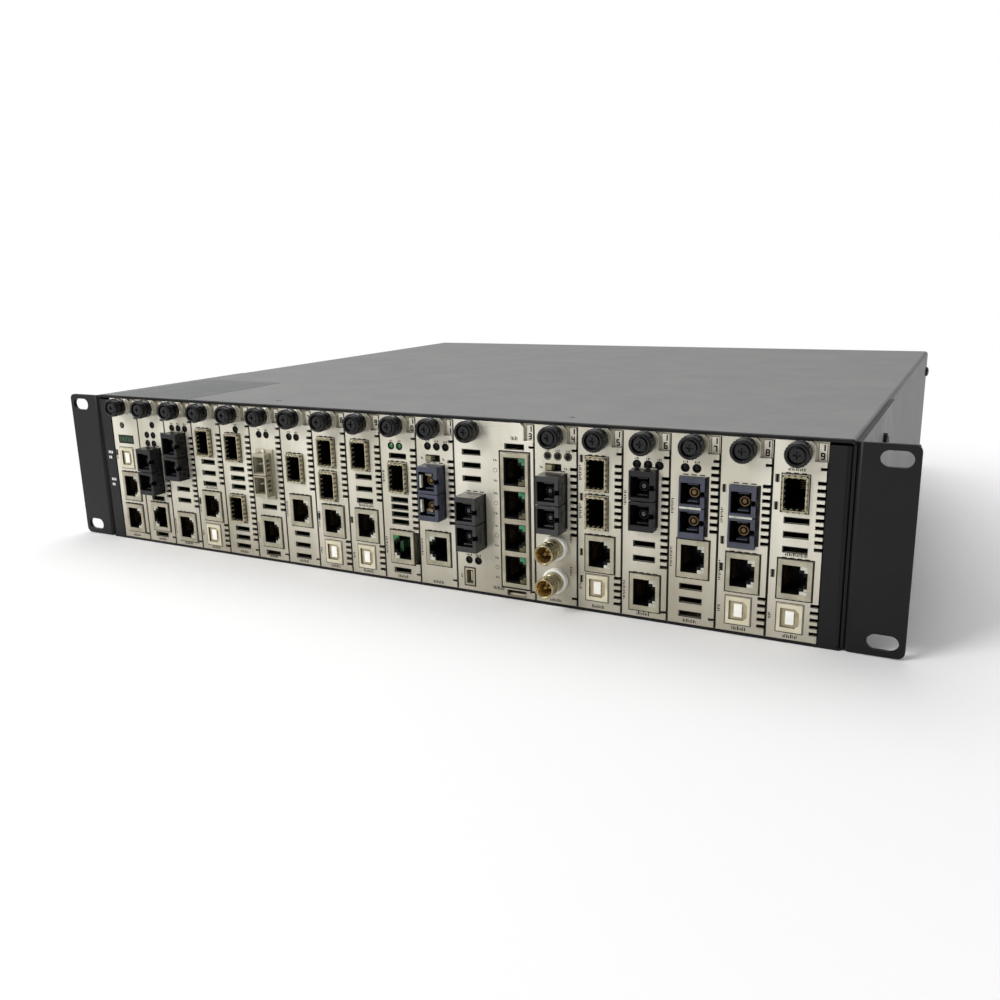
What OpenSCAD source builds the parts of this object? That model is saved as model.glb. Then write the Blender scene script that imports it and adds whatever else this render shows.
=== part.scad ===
// Rack chassis, two rack units high, for nineteen slide-in media converter cards.
// Millimetres. X runs to the right seen from the front, Y runs to the rear and Z runs up.
// The origin is in the middle of the front edge of the underside.

/* [Rack] */
// How far an ear reaches past the body's side
ear_reach = 23.8; // [22:0.1:26]
// Gap between an ear's end and the level of the body's top or underside
ear_end_gap = 0.4; // [0.2:0.1:0.8]
// Distance of the ear slots' centres from the ear's outer edge
ear_slot_inset = 8.75; // [8:0.05:10]
// Distance of the ear slots' centres from the ear's ends
ear_slot_drop = 5.95; // [5.5:0.05:7]
// Width of an ear slot, across its length
ear_slot_w = 6.8; // [6:0.1:7.5]
// Length of an ear slot, end to end
ear_slot_l = 12.4; // [10:0.1:13]
// Thickness of an ear
ear_t = 2; // [1.5:0.1:2.5]
// How far the ear's flange runs back along the side
ear_flange_d = 128; // [100:1:160]
// Corner radius of an ear
ear_corner_r = 3; // [1:0.5:5]

/* [Body] */
// Width of the body beside the card row, on each side
side_w = 10.4; // [10:0.1:13]
// Height of the body over its cover
chassis_h = 88.9; // [88.6:0.1:90]
// Thickness of the body's sheet
sheet = 1.2; // [1:0.1:1.4]
// Outer radius of a bent edge
bend_r = 2.4; // [1.8:0.1:3]

/* [Cards] */
// Distance from one card slot to the next
slot_pitch = 21.8; // [21.6:0.05:21.9]
// Gap between neighbouring faceplates
plate_gap = 0.4; // [0.3:0.05:0.8]
// Gap over and under a faceplate
plate_end_gap = 0.2; // [0.1:0.05:0.4]
// Thickness of a faceplate
plate_t = 1.5; // [1.2:0.1:2]
// Thickness of a card's circuit board
board_t = 1.6; // [1.2:0.1:2]
// Depth of a card's circuit board, without its edge tongue
board_d = 154.5; // [140:0.5:158]
// Length of the edge tongue that enters the backplane
tongue_d = 8; // [6:0.5:10]
// Room between a sliding piece and what guides it
run_gap = 0.3; // [0.2:0.05:0.4]
// Distance between neighbouring air notches in a faceplate's edge
tooth_pitch = 3.12; // [3:0.02:3.2]

/* [Thumbscrews] */
// Radius of the knob
knob_r = 5.2; // [4.5:0.1:6]
// Length of the knob
knob_l = 7.5; // [6:0.1:9]
// Radius of the screw's shank
shank_r = 1.6; // [1.4:0.05:1.8]
// Distance of the screw from the faceplate's left edge
knob_x = 10.9; // [9.5:0.1:12]
// Distance of the screw from the faceplate's top edge
knob_drop = 4.5; // [4.2:0.1:4.8]

/* [Sockets] */
// Width of a network jack
jack_w = 14; // [13:0.1:14.4]
// Height of a network jack
jack_h = 17.2; // [16:0.1:17.6]
// Width of an optical transceiver cage's rim
cage_w = 10.5; // [9.8:0.1:11]
// Height of an optical transceiver cage's rim
cage_h = 15.5; // [14.8:0.1:15.8]
// Width of a duplex fibre receptacle
fibre_w = 11.5; // [11:0.1:12]
// Height of a duplex fibre receptacle
fibre_h = 27.5; // [26:0.1:28]
// Furthest reach of a duplex fibre receptacle in front of its faceplate
fibre_reach = 10; // [8:0.5:12]
// Width of a square data port
port_w = 10.5; // [10:0.1:11]
// Height of a square data port
port_h = 12.3; // [12:0.1:12.6]
// Radius of a coaxial jack's barrel
coax_r = 4.8; // [4.4:0.1:5]
// Reach of a coaxial jack in front of its faceplate
coax_l = 14.7; // [12:0.1:16]
// Width of an air slot in a faceplate
vent_w = 9.8; // [9:0.1:10]
// Height of an air slot in a faceplate
vent_h = 2.3; // [2:0.1:2.6]
// Radius of a round lamp
lamp_r = 1.5; // [1.2:0.1:1.6]

/* [Power supplies] */
// Distance from a power supply bay to the inside of the body's side
bay_side = 3.7; // [3.6:0.1:6]
// Distance from a bay to the level of the body's top or underside
bay_edge = 2.15; // [2.1:0.05:3]
// Width of the post between the two bays
post_w = 14; // [13:0.5:16]
// Depth of a power supply inside the body
supply_d = 211; // [190:1:230]
// Room between the bulkhead and a power supply
supply_room = 20; // [12:1:30]
// Radius of the fan's air hole
fan_r = 27; // [24:0.5:28]
// Thickness of the fan
fan_t = 15; // [14:0.5:18]
// Number of fan blades
blades = 7; // [5:1:9]

/* [Hidden] */
$fn = 48;

// One overrun serves every cut
cut = 0.5;
// Hairline gap between pieces that are fastened to each other
seam = 0.1;
slots = 19;
row_w = slots * slot_pitch;
chassis_w = row_w + 2 * side_w;
rack_w = chassis_w + 2 * ear_reach;
ear_h = chassis_h - 2 * ear_end_gap;
rack_span_x = rack_w - 2 * ear_slot_inset;
rack_span_z = ear_h - 2 * ear_slot_drop;
// A card's faceplate and where its lower edge is
plate_z = sheet + plate_end_gap;
plate_h = chassis_h - 2 * plate_z;
knob_z = plate_h - knob_drop;

// Air notches and hook notches in a faceplate's right edge
tooth_d = 3.2;
tooth_h = 1.6;
hook_d = 2.4;
hook_h = 1.2;
hook_high_share = 0.863;
hook_low_share = 0.035;
// The corner cut that shows the slot's number
number_w = 4.8;
number_h = 8.2;
number_chamfer = 1.8;

// The screw's bore, its retaining ring and its parts
bore_r = shank_r + run_gap;
ring_r = 4.3;
ring_t = 1.5;
shank_l = 6;
knob_neck = 1;
knob_neck_r = knob_r - knob_neck;
knob_step = 1.3;
knob_rim = 0.9;
recess_w = 1.1;
recess_l = 5.2;
recess_d = 1.6;
knurl_w = 0.8;
knurl_d = 0.5;
knurls = 16;

// The upper slot rail, a channel that is open to the rear
rail_h = 8.4;
rail_t = 1.2;
rail_gap = 0.3;
rail_top = chassis_h - sheet - rail_gap;
rail_shelf_d = 60;
rail_flange_d = 24;
rail_boss_r = 3.2;
rail_boss_l = 3;
// The lower slot rail
sill_d = 12;
sill_t = 1.5;
sill_hole_w = 9;
sill_hole_d = 5;

// Card guides: a sheet with two ribs for every slot
guide_y = 50;
guide_d = 105;
guide_t = 1.5;
rib_t = 1;
rib_h = 3.6;
guide_hole_w = 10;
guide_holes = 4;
guide_hole_share = 0.62;

// A card's circuit board, measured from its faceplate's left edge
board_x = 2.6;
board_y = 3;
board_z = sheet + guide_t + run_gap;
board_top = rail_top - rail_h - guide_t - run_gap;
tongue_low_share = 0.16;
tongue_high_share = 0.84;
tab_drop = 2;
tab_z = board_top - tab_drop;
tab_w = 4.8;
tab_h = 1.9;
tab_d = 8;
// Parts on the board: places as shares of its depth and height, along and up
chip_size = 14;
chip_t = 1.8;
chip_shares = [[0.42, 0.30], [0.42, 0.66], [0.66, 0.42]];
module_d = 18;
module_h = 12;
module_t = 7;
module_shares = [[0.62, 0.76], [0.84, 0.60]];
can_r = 3.2;
can_l = 9;
can_shares = [[0.60, 0.16], [0.72, 0.16], [0.86, 0.30]];

// Network jack: its cavity is a plug body with two latch steps
jack_d = 21;
jack_proud = 0.8;
jack_cavity_d = 13;
jack_wall = 1.9;
jack_plug_w = 6.8;
jack_plug_h = 12.2;
jack_step_w = 1.7;
jack_step_h = 6.4;
jack_latch_w = 1.5;
jack_latch_h = 3.6;
gang_h = 66.5;
gang_w = 14.6;
gang_ports = 4;
gang_pitch = 16.25;

// Optical transceiver cage
cage_d = 46;
cage_proud = 2.4;
cage_wall = 1;
cage_floor = 3;

// Duplex fibre receptacle and the small metal one
fibre_d = 30;
fibre_hole_w = 7.6;
fibre_hole_h = 9.4;
fibre_hole_d = 12;
fibre_hole_step = 6.4;
ferrule_r = 1.25;
ferrule_l = 9;
metal_w = 9;
metal_h = 24;
metal_rim_w = 12;
metal_rim_h = 28;
metal_rim_t = 1;
metal_reach = 5.8;
metal_hole_w = 5.4;
metal_hole_h = 5.4;
metal_hole_step = 5.6;

// Square data port and its tongue, and the small data port
port_d = 16;
port_proud = 0.5;
port_hole_w = 7.8;
port_hole_h = 8.6;
port_hole_d = 9;
port_tongue_w = 3.2;
port_tongue_h = 5.6;
mini_w = 5.3;
mini_h = 8.7;
mini_d = 9;
mini_proud = 0.3;
mini_wall = 0.8;

// Coaxial jack
coax_wall = 0.8;
coax_bore_r = coax_r - coax_wall;
coax_washer_r = 6;
coax_washer_t = 0.8;
coax_nut_r = 6.2;
coax_nut_t = 2.4;
coax_core_r = 2.4;
coax_core_l = 8;
coax_pin_r = 0.7;
coax_lug_r = 0.9;
coax_lug_l = 0.9;
coax_body_d = 12;

// Lamps, the lamp bar, the reset hole and a slide switch
lamp_proud = 0.3;
lamp_d = 5;
mark_w = 1.6;
mark_h = 3.2;
mark_d = 0.8;
bar_w = 12.5;
bar_h = 5;
bar_d = 4;
pin_hole_r = 1.1;
switch_w = 8;
switch_h = 3.4;
switch_d = 6;
switch_wall = 0.8;
slider_w = 3.4;
slider_h = 2.4;
slider_proud = 1.2;
slider_d = 1.6;
switch_floor = slider_d + run_gap;
switch_travel = switch_w - slider_w - 2 * run_gap;

// Cards in the order of their slots
card_slots = [1, 2, 3, 4, 5, 6, 7, 8, 9, 10, 11, 12, 14, 15, 16, 17, 18, 19];
// What each faceplate holds, as shares of its width and height, with the reach as a share for fibre
face_shares = [
    [["hole", 0.40, 0.813], ["bar", 0.50, 0.715], ["port", 0.47, 0.582], ["jack", 0.53, 0.379],
        ["jack", 0.53, 0.147], ["mark", 0.07, 0.616]],
    [["lamp", 0.57, 0.830], ["lamp", 0.33, 0.759], ["lamp", 0.57, 0.759], ["lamp", 0.33, 0.701],
        ["lamp", 0.57, 0.701], ["fibre", 0.51, 0.516, 0.8], ["vent", 0.50, 0.313],
        ["jack", 0.53, 0.182], ["vent", 0.50, 0.052]],
    [["lamp", 0.30, 0.822], ["lamp", 0.54, 0.822], ["lamp", 0.78, 0.822], ["fibre", 0.49, 0.636, 0.75],
        ["vent", 0.50, 0.402], ["vent", 0.50, 0.323], ["jack", 0.53, 0.134]],
    [["cage", 0.44, 0.741], ["vent", 0.50, 0.610], ["vent", 0.50, 0.535], ["vent", 0.50, 0.461],
        ["jack", 0.53, 0.308], ["port", 0.47, 0.107], ["mark", 0.07, 0.333]],
    [["lamp", 0.56, 0.845], ["cage", 0.44, 0.724], ["vent", 0.50, 0.582], ["vent", 0.50, 0.521],
        ["vent", 0.50, 0.462], ["cage", 0.44, 0.316], ["vent", 0.50, 0.177], ["vent", 0.50, 0.118],
        ["vent", 0.50, 0.058]],
    [["lamp", 0.33, 0.825], ["lamp", 0.57, 0.825], ["metal", 0.48, 0.571], ["vent", 0.50, 0.352],
        ["jack", 0.53, 0.185], ["vent", 0.50, 0.040]],
    [["lamp", 0.30, 0.825], ["lamp", 0.53, 0.825], ["cage", 0.44, 0.626], ["jack", 0.53, 0.353],
        ["vent", 0.50, 0.200], ["vent", 0.50, 0.125], ["vent", 0.50, 0.051]],
    [["cage", 0.44, 0.746], ["cage", 0.44, 0.535], ["jack", 0.53, 0.312], ["port", 0.47, 0.110],
        ["mark", 0.07, 0.335]],
    [["cage", 0.44, 0.747], ["vent", 0.50, 0.614], ["vent", 0.50, 0.539], ["vent", 0.50, 0.465],
        ["jack", 0.53, 0.311], ["port", 0.47, 0.110], ["mark", 0.07, 0.335]],
    [["lamp", 0.33, 0.820], ["lamp", 0.56, 0.820], ["vent", 0.50, 0.761], ["cage", 0.49, 0.631],
        ["vent", 0.50, 0.496], ["vent", 0.50, 0.451], ["vent", 0.50, 0.406], ["vent", 0.50, 0.359],
        ["jack_left", 0.53, 0.204], ["vent", 0.50, 0.056]],
    [["lamp", 0.33, 0.835], ["lamp", 0.57, 0.835], ["lamp", 0.81, 0.835], ["switch", 0.46, 0.765],
        ["fibre", 0.48, 0.570, 0.7], ["jack_left", 0.53, 0.225]],
    [["vent", 0.23, 0.819], ["vent", 0.23, 0.744], ["vent", 0.23, 0.666], ["fibre", 0.257, 0.425, 1],
        ["lamp", 0.165, 0.184], ["lamp", 0.285, 0.184], ["mini", 0.17, 0.082], ["vent", 0.773, 0.868],
        ["gang", 0.773, 0.445], ["vent", 0.773, 0.022]],
    [["lamp", 0.33, 0.834], ["lamp", 0.57, 0.834], ["lamp", 0.81, 0.834], ["switch", 0.46, 0.771],
        ["fibre", 0.49, 0.583, 0.9], ["coax", 0.52, 0.327], ["coax", 0.52, 0.138]],
    [["mark", 0.10, 0.833], ["mark", 0.10, 0.625], ["mark", 0.10, 0.318], ["mark", 0.10, 0.165],
        ["cage", 0.45, 0.756], ["cage", 0.45, 0.547], ["jack", 0.53, 0.317], ["port", 0.47, 0.124]],
    [["lamp", 0.32, 0.827], ["lamp", 0.56, 0.827], ["lamp", 0.80, 0.827], ["fibre", 0.49, 0.644, 0.5],
        ["vent", 0.50, 0.403], ["vent", 0.50, 0.323], ["jack", 0.53, 0.138]],
    [["lamp", 0.32, 0.828], ["lamp", 0.56, 0.828], ["fibre", 0.48, 0.625, 0.15], ["jack", 0.53, 0.356],
        ["vent", 0.50, 0.203], ["vent", 0.50, 0.130], ["vent", 0.50, 0.054]],
    [["mark", 0.10, 0.741], ["mark", 0.10, 0.475], ["mark", 0.10, 0.335], ["fibre", 0.48, 0.603, 0.15],
        ["jack", 0.53, 0.315], ["port", 0.47, 0.114]],
    [["mark", 0.10, 0.813], ["mark", 0.10, 0.677], ["mark", 0.10, 0.335], ["cage", 0.45, 0.744],
        ["vent", 0.50, 0.610], ["vent", 0.50, 0.538], ["vent", 0.50, 0.463], ["jack", 0.53, 0.314],
        ["port", 0.47, 0.114]]];
// Runs of air notches: each run starts at a share of the faceplate's height and has a number of notches
teeth_shares = [
    [], [[0.330, 13]], [[0.280, 14]], [[0.463, 10], [0.030, 5]], [[0.103, 20]], [[0.333, 14]],
    [[0.492, 10]], [[0.469, 10], [0.034, 5]], [[0.469, 10], [0.034, 5]], [[0.104, 20]], [[0.381, 11]],
    [], [[0.396, 11]], [[0.469, 10], [0.040, 5]], [[0.280, 14]], [[0.500, 10]],
    [[0.466, 9], [0.037, 5]], [[0.466, 10], [0.037, 5]]];

// Backplane
connector_y = board_y + board_d + run_gap;
connector_wall = 5;
connector_d = tongue_d + connector_wall;
connector_w = 8;
connector_over = 2;
backplane_y = connector_y + connector_d;
backplane_t = 1.6;
backplane_inset = 9;
backplane_low = 4;
backplane_top = 80;
standoff_r = 2.5;
standoff_l = 1.4;
standoff_shares = [0.03, 0.5, 0.97];
standoff_inset = 3.2;
bulkhead_y = backplane_y + backplane_t + standoff_l;
feed_w = 50;
feed_h = 12;
feed_z = 26;
window_w = 70;
window_h = 24;

// The base pan fits inside the cover
pan_w = chassis_w - 2 * sheet;
pan_top = chassis_h - safe_bend(sheet);
chassis_d = bulkhead_y + sheet + supply_room + supply_d;
strip_w = (pan_w - row_w) / 2 - plate_gap / 2;

// Pan-head and countersunk screws
head_r = 3.4;
head_t = 2.2;
head_recess_w = 1;
head_recess_l = 3.8;
head_recess_d = 1;
thread_r = 1.5;
thread_l = 3;
thread_fit = 0.1;
flat_r = 2.8;
flat_t = 1.1;
cover_screw_x = 89;
cover_screw_y = 16.5;
ear_screw_y = [34, 88];
side_screw_z_shares = [0.16, 0.835];
rear_screw_inset = 8;
rear_tab_d = 16;

// Ground stud
stud_r = 2;
stud_l = 14;
stud_shoulder = 0.25;
stud_z = 30;
nut_r = 4;
nut_t = 3.2;

// Power supplies
supply_wall = 1;
supply_plate_t = 1.5;
supply_over = 1.2;
bay_w = (pan_w - post_w) / 2 - bay_side;
bay_h = chassis_h - 2 * bay_edge;
supply_w = bay_w - 2 * run_gap;
supply_h = bay_h - 2 * run_gap;
supply_y = chassis_d - supply_d;
bay_x = (post_w + bay_w) / 2;
mid_z = chassis_h / 2;
fan_share = -0.30;
inlet_share = 0.14;
rocker_share = 0.32;
fan_side = 3;
fan_frame = 2 * (fan_r + fan_side);
fan_wall = 1.5;
fan_arm_w = 4;
hub_r = 12;
hub_l = 10.5;
blade_gap = 0.6;
blade_t = 1.2;
blade_tilt = 38;
blade_chord = 13;
guard_w = 1.6;
guard_t = 1.5;
guard_share = 0.30;
guard_rings = 3;
inlet_w = 27;
inlet_h = 20;
inlet_d = 17;
inlet_rim = 1.8;
inlet_flange = 2;
inlet_flange_t = 2;
pole_w = 2;
pole_h = 4;
pole_l = 12;
pole_step = 7;
pole_drop = 0.8;
terminal_w = 38;
terminal_h = 15;
terminal_d = 10;
terminal_cell = 10.6;
terminal_r = 3;
rocker_r = 9;
rocker_w = 12.4;
rocker_front = 4.4;
rocker_back = 2;
rocker_tilt = 7;
bezel_rim = 1.6;
bezel_proud = 1.2;
bezel_d = 12;
lip_w = 60;
lip_d = 12;
lip_t = 1.5;
lip_drop = 3;
socket_w = 54;
socket_h = 16;
vent_rows = 5;
supply_vent_w = 2.2;
supply_vent_h = 26;
supply_vent_pitch = 5;
supply_vent_share = 0.42;
supply_screw_inset = 4.6;
// Parts in a power supply: its board, coil, cans and heat sink
supply_board_inset = 8;
supply_board_z = 6;
supply_board_gap = 6;
coil_w = 46;
coil_d = 40;
coil_h = 38;
tank_r = 9;
tank_l = 34;
tank_shares = [[0.22, 0.70], [0.38, 0.70], [0.54, 0.70]];
sink_w = 90;
sink_d = 22;
sink_h = 44;
sink_fins = 9;
sink_base = 3;
sink_fin_t = 1.6;
foot_r = 3;
foot_shares = [0.05, 0.95];

function slot_x(n) = -row_w / 2 + (n - 1) * slot_pitch + plate_gap / 2;

// A card takes every slot up to the next card's
function card_span(k) = (k < len(card_slots) - 1 ? card_slots[k + 1] : slots + 1) - card_slots[k];
function plate_w(k) = card_span(k) * slot_pitch - plate_gap;

// A box from pairs of limits along each axis
module slab(x, y, z)
    translate([x[0], y[0], z[0]]) cube([x[1] - x[0], y[1] - y[0], z[1] - z[0]]);

// A box centred in X and Z that runs from y[0] to y[1]
module block(w, h, y) slab([-w / 2, w / 2], y, [-h / 2, h / 2]);

// A round bar along Y
module bar_y(r, y) translate([0, y[0], 0]) rotate([-90, 0, 0]) cylinder(r = r, h = y[1] - y[0]);

// An outline drawn in X and Z, pushed along Y
module along_y(y) translate([0, y[1], 0]) rotate([90, 0, 0]) linear_extrude(y[1] - y[0]) children();

// An outline drawn in X and Y, pushed up
module along_z(z) translate([0, 0, z[0]]) linear_extrude(z[1] - z[0]) children();

// A cross-shaped recess, cut from y = 0 inwards
module cross_recess(w, l, d) {
    block(w, l, [-cut, d]);
    block(l, w, [-cut, d]);
}

// A slot with round ends along X
module round_slot(l, h) {
    square([l - h, h], center = true);
    for (s = [-1, 1]) translate([s * (l - h) / 2, 0]) circle(d = h);
}

// A sheet angle seen from above: a front leg along +X, a side leg along +Y and a round outer bend
module angle(front, side, t, r) {
    translate([r, 0]) square([front - r, t]);
    translate([0, r]) square([t, side - r]);
    intersection() {
        square([r, r]);
        translate([r, r]) difference() {
            circle(r = r);
            circle(r = r - t);
        }
    }
}

// A fillet radius that the sheet can take
function safe_bend(t) = max(bend_r, t + cut);

// Chassis sheet metal

module pan_side() {
    along_z([sheet, pan_top]) translate([-pan_w / 2, 0])
        angle(strip_w, chassis_d - sheet, sheet, safe_bend(sheet));
}

module base_pan() color([0.13, 0.13, 0.14]) {
    difference() {
        union() {
            slab([-pan_w / 2, pan_w / 2], [0, chassis_d - sheet], [0, sheet]);
            pan_side();
            mirror([1, 0, 0]) pan_side();
        }
        for (s = [-1, 1]) for (share = side_screw_z_shares)
            for (y = concat(ear_screw_y, [chassis_d - rear_screw_inset]))
                translate([s * pan_w / 2, y, share * chassis_h]) rotate([0, 90, 0])
                    cylinder(r = thread_r + thread_fit, h = 4 * sheet, center = true);
    }
}

module top_cover() color([0.52, 0.52, 0.53]) {
    r = safe_bend(sheet);
    difference() {
        along_y([0, chassis_d]) {
            difference() {
                union() {
                    translate([-chassis_w / 2, 0]) square([chassis_w, chassis_h - r]);
                    translate([r - chassis_w / 2, 0]) square([chassis_w - 2 * r, chassis_h]);
                    for (s = [-1, 1]) translate([s * (chassis_w / 2 - r), chassis_h - r]) circle(r = r);
                }
                translate([-pan_w / 2, -cut]) square([pan_w, chassis_h - r + cut]);
                translate([r - chassis_w / 2, -cut]) square([chassis_w - 2 * r, chassis_h - sheet + cut]);
                for (s = [-1, 1]) translate([s * (chassis_w / 2 - r), chassis_h - r]) circle(r = r - sheet);
            }
        }
        for (s = [-1, 1]) translate([s * chassis_w / 2, 0, 0])
            slab([-2 * sheet, 2 * sheet], [-cut, sheet], [-cut, rail_top]);
        for (s = [-1, 1]) for (share = side_screw_z_shares)
            for (y = concat(ear_screw_y, [chassis_d - rear_screw_inset]))
                translate([s * chassis_w / 2, y, share * chassis_h]) rotate([0, 90, 0])
                    cylinder(r = thread_r + thread_fit, h = 4 * sheet, center = true);
        for (s = [-1, 1]) translate([s * cover_screw_x, cover_screw_y, chassis_h - flat_t - thread_fit]) {
            cylinder(r = flat_r + thread_fit, h = 2 * sheet);
            translate([0, 0, -2 * sheet]) cylinder(r = thread_r + thread_fit, h = 4 * sheet);
        }
    }
}

module rear_panel() color([0.2, 0.2, 0.21]) {
    top_w = chassis_w - 2 * safe_bend(sheet);
    difference() {
        union() {
            slab([-pan_w / 2, pan_w / 2], [chassis_d - sheet, chassis_d], [sheet, pan_top]);
            slab([-top_w / 2, top_w / 2], [chassis_d - sheet, chassis_d], [sheet, chassis_h - sheet]);
            for (s = [0, 1]) mirror([s, 0, 0]) slab([pan_w / 2 - 2 * sheet, pan_w / 2 - sheet],
                [chassis_d - rear_tab_d, chassis_d - sheet + cut], [2 * sheet, pan_top]);
        }
        for (s = [-1, 1]) translate([s * bay_x, 0, mid_z])
            block(bay_w, bay_h, [chassis_d - sheet - cut, chassis_d + cut]);
        for (s = [-1, 1]) for (share = side_screw_z_shares)
            translate([s * (pan_w / 2 - sheet), chassis_d - rear_screw_inset, share * chassis_h])
                rotate([0, 90, 0]) cylinder(r = thread_r + thread_fit, h = 4 * sheet, center = true);
        translate([0, 0, stud_z])
            bar_y(stud_r + stud_shoulder + thread_fit, [chassis_d - sheet - cut, chassis_d + cut]);
    }
}

// The right ear, seen from the front; the left one is its mirror image
module ear() {
    low = (chassis_h - ear_h) / 2;
    wing = (rack_w - chassis_w) / 2;
    depth = [-cut, ear_flange_d + cut];
    difference() {
        intersection() {
            along_z([low, low + ear_h]) translate([chassis_w / 2, 0])
                angle(wing, ear_flange_d, ear_t, safe_bend(ear_t));
            union() {
                slab([0, rack_w / 2 - ear_corner_r], depth, [low, low + ear_h]);
                slab([0, rack_w / 2], depth, [low + ear_corner_r, low + ear_h - ear_corner_r]);
                for (z = [low + ear_corner_r, low + ear_h - ear_corner_r])
                    translate([rack_w / 2 - ear_corner_r, 0, z]) bar_y(ear_corner_r, depth);
            }
        }
        for (s = [-1, 1]) translate([rack_span_x / 2, 0, mid_z + s * rack_span_z / 2])
            along_y([-cut, ear_t + cut]) round_slot(ear_slot_l, ear_slot_w);
        for (y = ear_screw_y) for (share = side_screw_z_shares)
            translate([chassis_w / 2, y, share * chassis_h]) rotate([0, 90, 0])
                cylinder(r = thread_r + thread_fit, h = 4 * ear_t, center = true);
    }
}

module rack_ear_right() color([0.12, 0.12, 0.13]) ear();
module rack_ear_left() color([0.12, 0.12, 0.13]) mirror([1, 0, 0]) ear();

module pan_screw() {
    difference() {
        union() {
            bar_y(thread_r, [0, thread_l]);
            intersection() {
                bar_y(head_r, [-head_t, 0]);
                translate([0, 2 * head_r - head_t, 0]) sphere(r = 2 * head_r);
            }
        }
        translate([0, -head_t, 0]) cross_recess(head_recess_w, head_recess_l, head_recess_d);
    }
}

module flat_screw() {
    difference() {
        union() {
            cylinder(r = flat_r, h = flat_t);
            translate([0, 0, -thread_l]) cylinder(r = thread_r, h = thread_l);
        }
        for (a = [0, 90]) rotate([0, 0, a])
            slab([-head_recess_l / 2, head_recess_l / 2], [-head_recess_w / 2, head_recess_w / 2],
                [flat_t - head_recess_d, flat_t + cut]);
    }
}

module chassis_screws() color([0.08, 0.08, 0.08]) {
    for (s = [-1, 1]) {
        for (share = side_screw_z_shares) {
            for (y = ear_screw_y) translate([s * (chassis_w / 2 + ear_t), y, share * chassis_h])
                rotate([0, 0, s * 90]) pan_screw();
            translate([s * chassis_w / 2, chassis_d - rear_screw_inset, share * chassis_h])
                rotate([0, 0, s * 90]) pan_screw();
        }
        translate([s * cover_screw_x, cover_screw_y, chassis_h - flat_t]) flat_screw();
    }
}

module ground_stud() color([0.75, 0.72, 0.6]) translate([0, 0, stud_z]) {
    bar_y(stud_r + stud_shoulder, [chassis_d - sheet, chassis_d + nut_t]);
    bar_y(stud_r, [chassis_d, chassis_d + stud_l]);
    difference() {
        translate([0, chassis_d, 0]) rotate([-90, 0, 0]) cylinder(r = nut_r, h = nut_t, $fn = 6);
        bar_y(stud_r + stud_shoulder + thread_fit, [chassis_d - cut, chassis_d + nut_t + cut]);
    }
}

// Slot rails and card guides

module slot_rail_upper() color([0.74, 0.72, 0.66]) {
    low = rail_top - rail_h;
    difference() {
        union() {
            slab([-row_w / 2, row_w / 2], [plate_t, plate_t + rail_t], [low, rail_top]);
            slab([-row_w / 2, row_w / 2], [plate_t, plate_t + rail_shelf_d], [low, low + rail_t]);
            slab([-row_w / 2, row_w / 2], [plate_t, plate_t + rail_flange_d], [rail_top - rail_t, rail_top]);
            for (n = [1:slots]) translate([slot_x(n) + knob_x, 0, plate_z + knob_z])
                bar_y(rail_boss_r, [plate_t, plate_t + rail_t + rail_boss_l]);
        }
        for (n = [1:slots]) translate([slot_x(n) + knob_x, 0, plate_z + knob_z])
            bar_y(bore_r, [plate_t - cut, plate_t + rail_t + rail_boss_l + cut]);
        for (s = [-1, 1]) translate([s * cover_screw_x, cover_screw_y, rail_top - rail_t - cut])
            cylinder(r = thread_r + thread_fit, h = rail_t + 2 * cut);
    }
}

module slot_rail_lower() color([0.74, 0.72, 0.66]) {
    difference() {
        slab([-row_w / 2, row_w / 2], [plate_t, plate_t + sill_d], [sheet, sheet + sill_t]);
        for (n = [1:slots]) translate([slot_x(n) + slot_pitch / 2, plate_t + sill_d / 2, 0])
            slab([-sill_hole_w / 2, sill_hole_w / 2], [-sill_hole_d / 2, sill_hole_d / 2],
                [sheet - cut, sheet + sill_t + cut]);
    }
}

// One sheet of guides that lies at z = 0, its ribs pointing up
module guides() {
    y = [guide_y, guide_y + guide_d];
    cell = guide_d / guide_holes;
    difference() {
        slab([-row_w / 2, row_w / 2], y, [0, guide_t]);
        for (n = [1:slots]) for (m = [1:guide_holes])
            translate([slot_x(n) + board_x + board_t + slot_pitch / 2, guide_y + (m - 0.5) * cell, 0])
                slab([-guide_hole_w / 2, guide_hole_w / 2],
                    [-guide_hole_share * cell / 2, guide_hole_share * cell / 2], [-cut, guide_t + cut]);
    }
    for (n = [1:slots]) for (x = [board_x - run_gap - rib_t, board_x + board_t + run_gap])
        slab([slot_x(n) + x, slot_x(n) + x + rib_t], y, [guide_t, guide_t + rib_h]);
}

module card_guides_lower() color([0.1, 0.1, 0.1]) translate([0, 0, sheet]) guides();
module card_guides_upper() color([0.1, 0.1, 0.1])
    translate([0, 0, rail_top - rail_h]) mirror([0, 0, 1]) guides();

// Backplane and bulkhead

module bulkhead() color([0.6, 0.6, 0.6]) {
    difference() {
        union() {
            slab([sheet - pan_w / 2, pan_w / 2 - sheet], [bulkhead_y, bulkhead_y + sheet], [sheet, pan_top]);
            slab([-sheet / 2, sheet / 2], [bulkhead_y, chassis_d - sheet], [sheet, pan_top]);
        }
        for (s = [-1, 1]) translate([s * bay_x, 0, feed_z])
            block(window_w, window_h, [bulkhead_y - cut, bulkhead_y + sheet + cut]);
    }
}

module backplane_board() color([0.05, 0.3, 0.12]) {
    half = pan_w / 2 - backplane_inset;
    slab([-half, half], [backplane_y, backplane_y + backplane_t], [backplane_low, backplane_top]);
    for (share = standoff_shares) for (z = [backplane_low + standoff_inset, backplane_top - standoff_inset])
        translate([(2 * share - 1) * half, 0, z])
            bar_y(standoff_r, [backplane_y + backplane_t + seam, bulkhead_y]);
}

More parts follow.
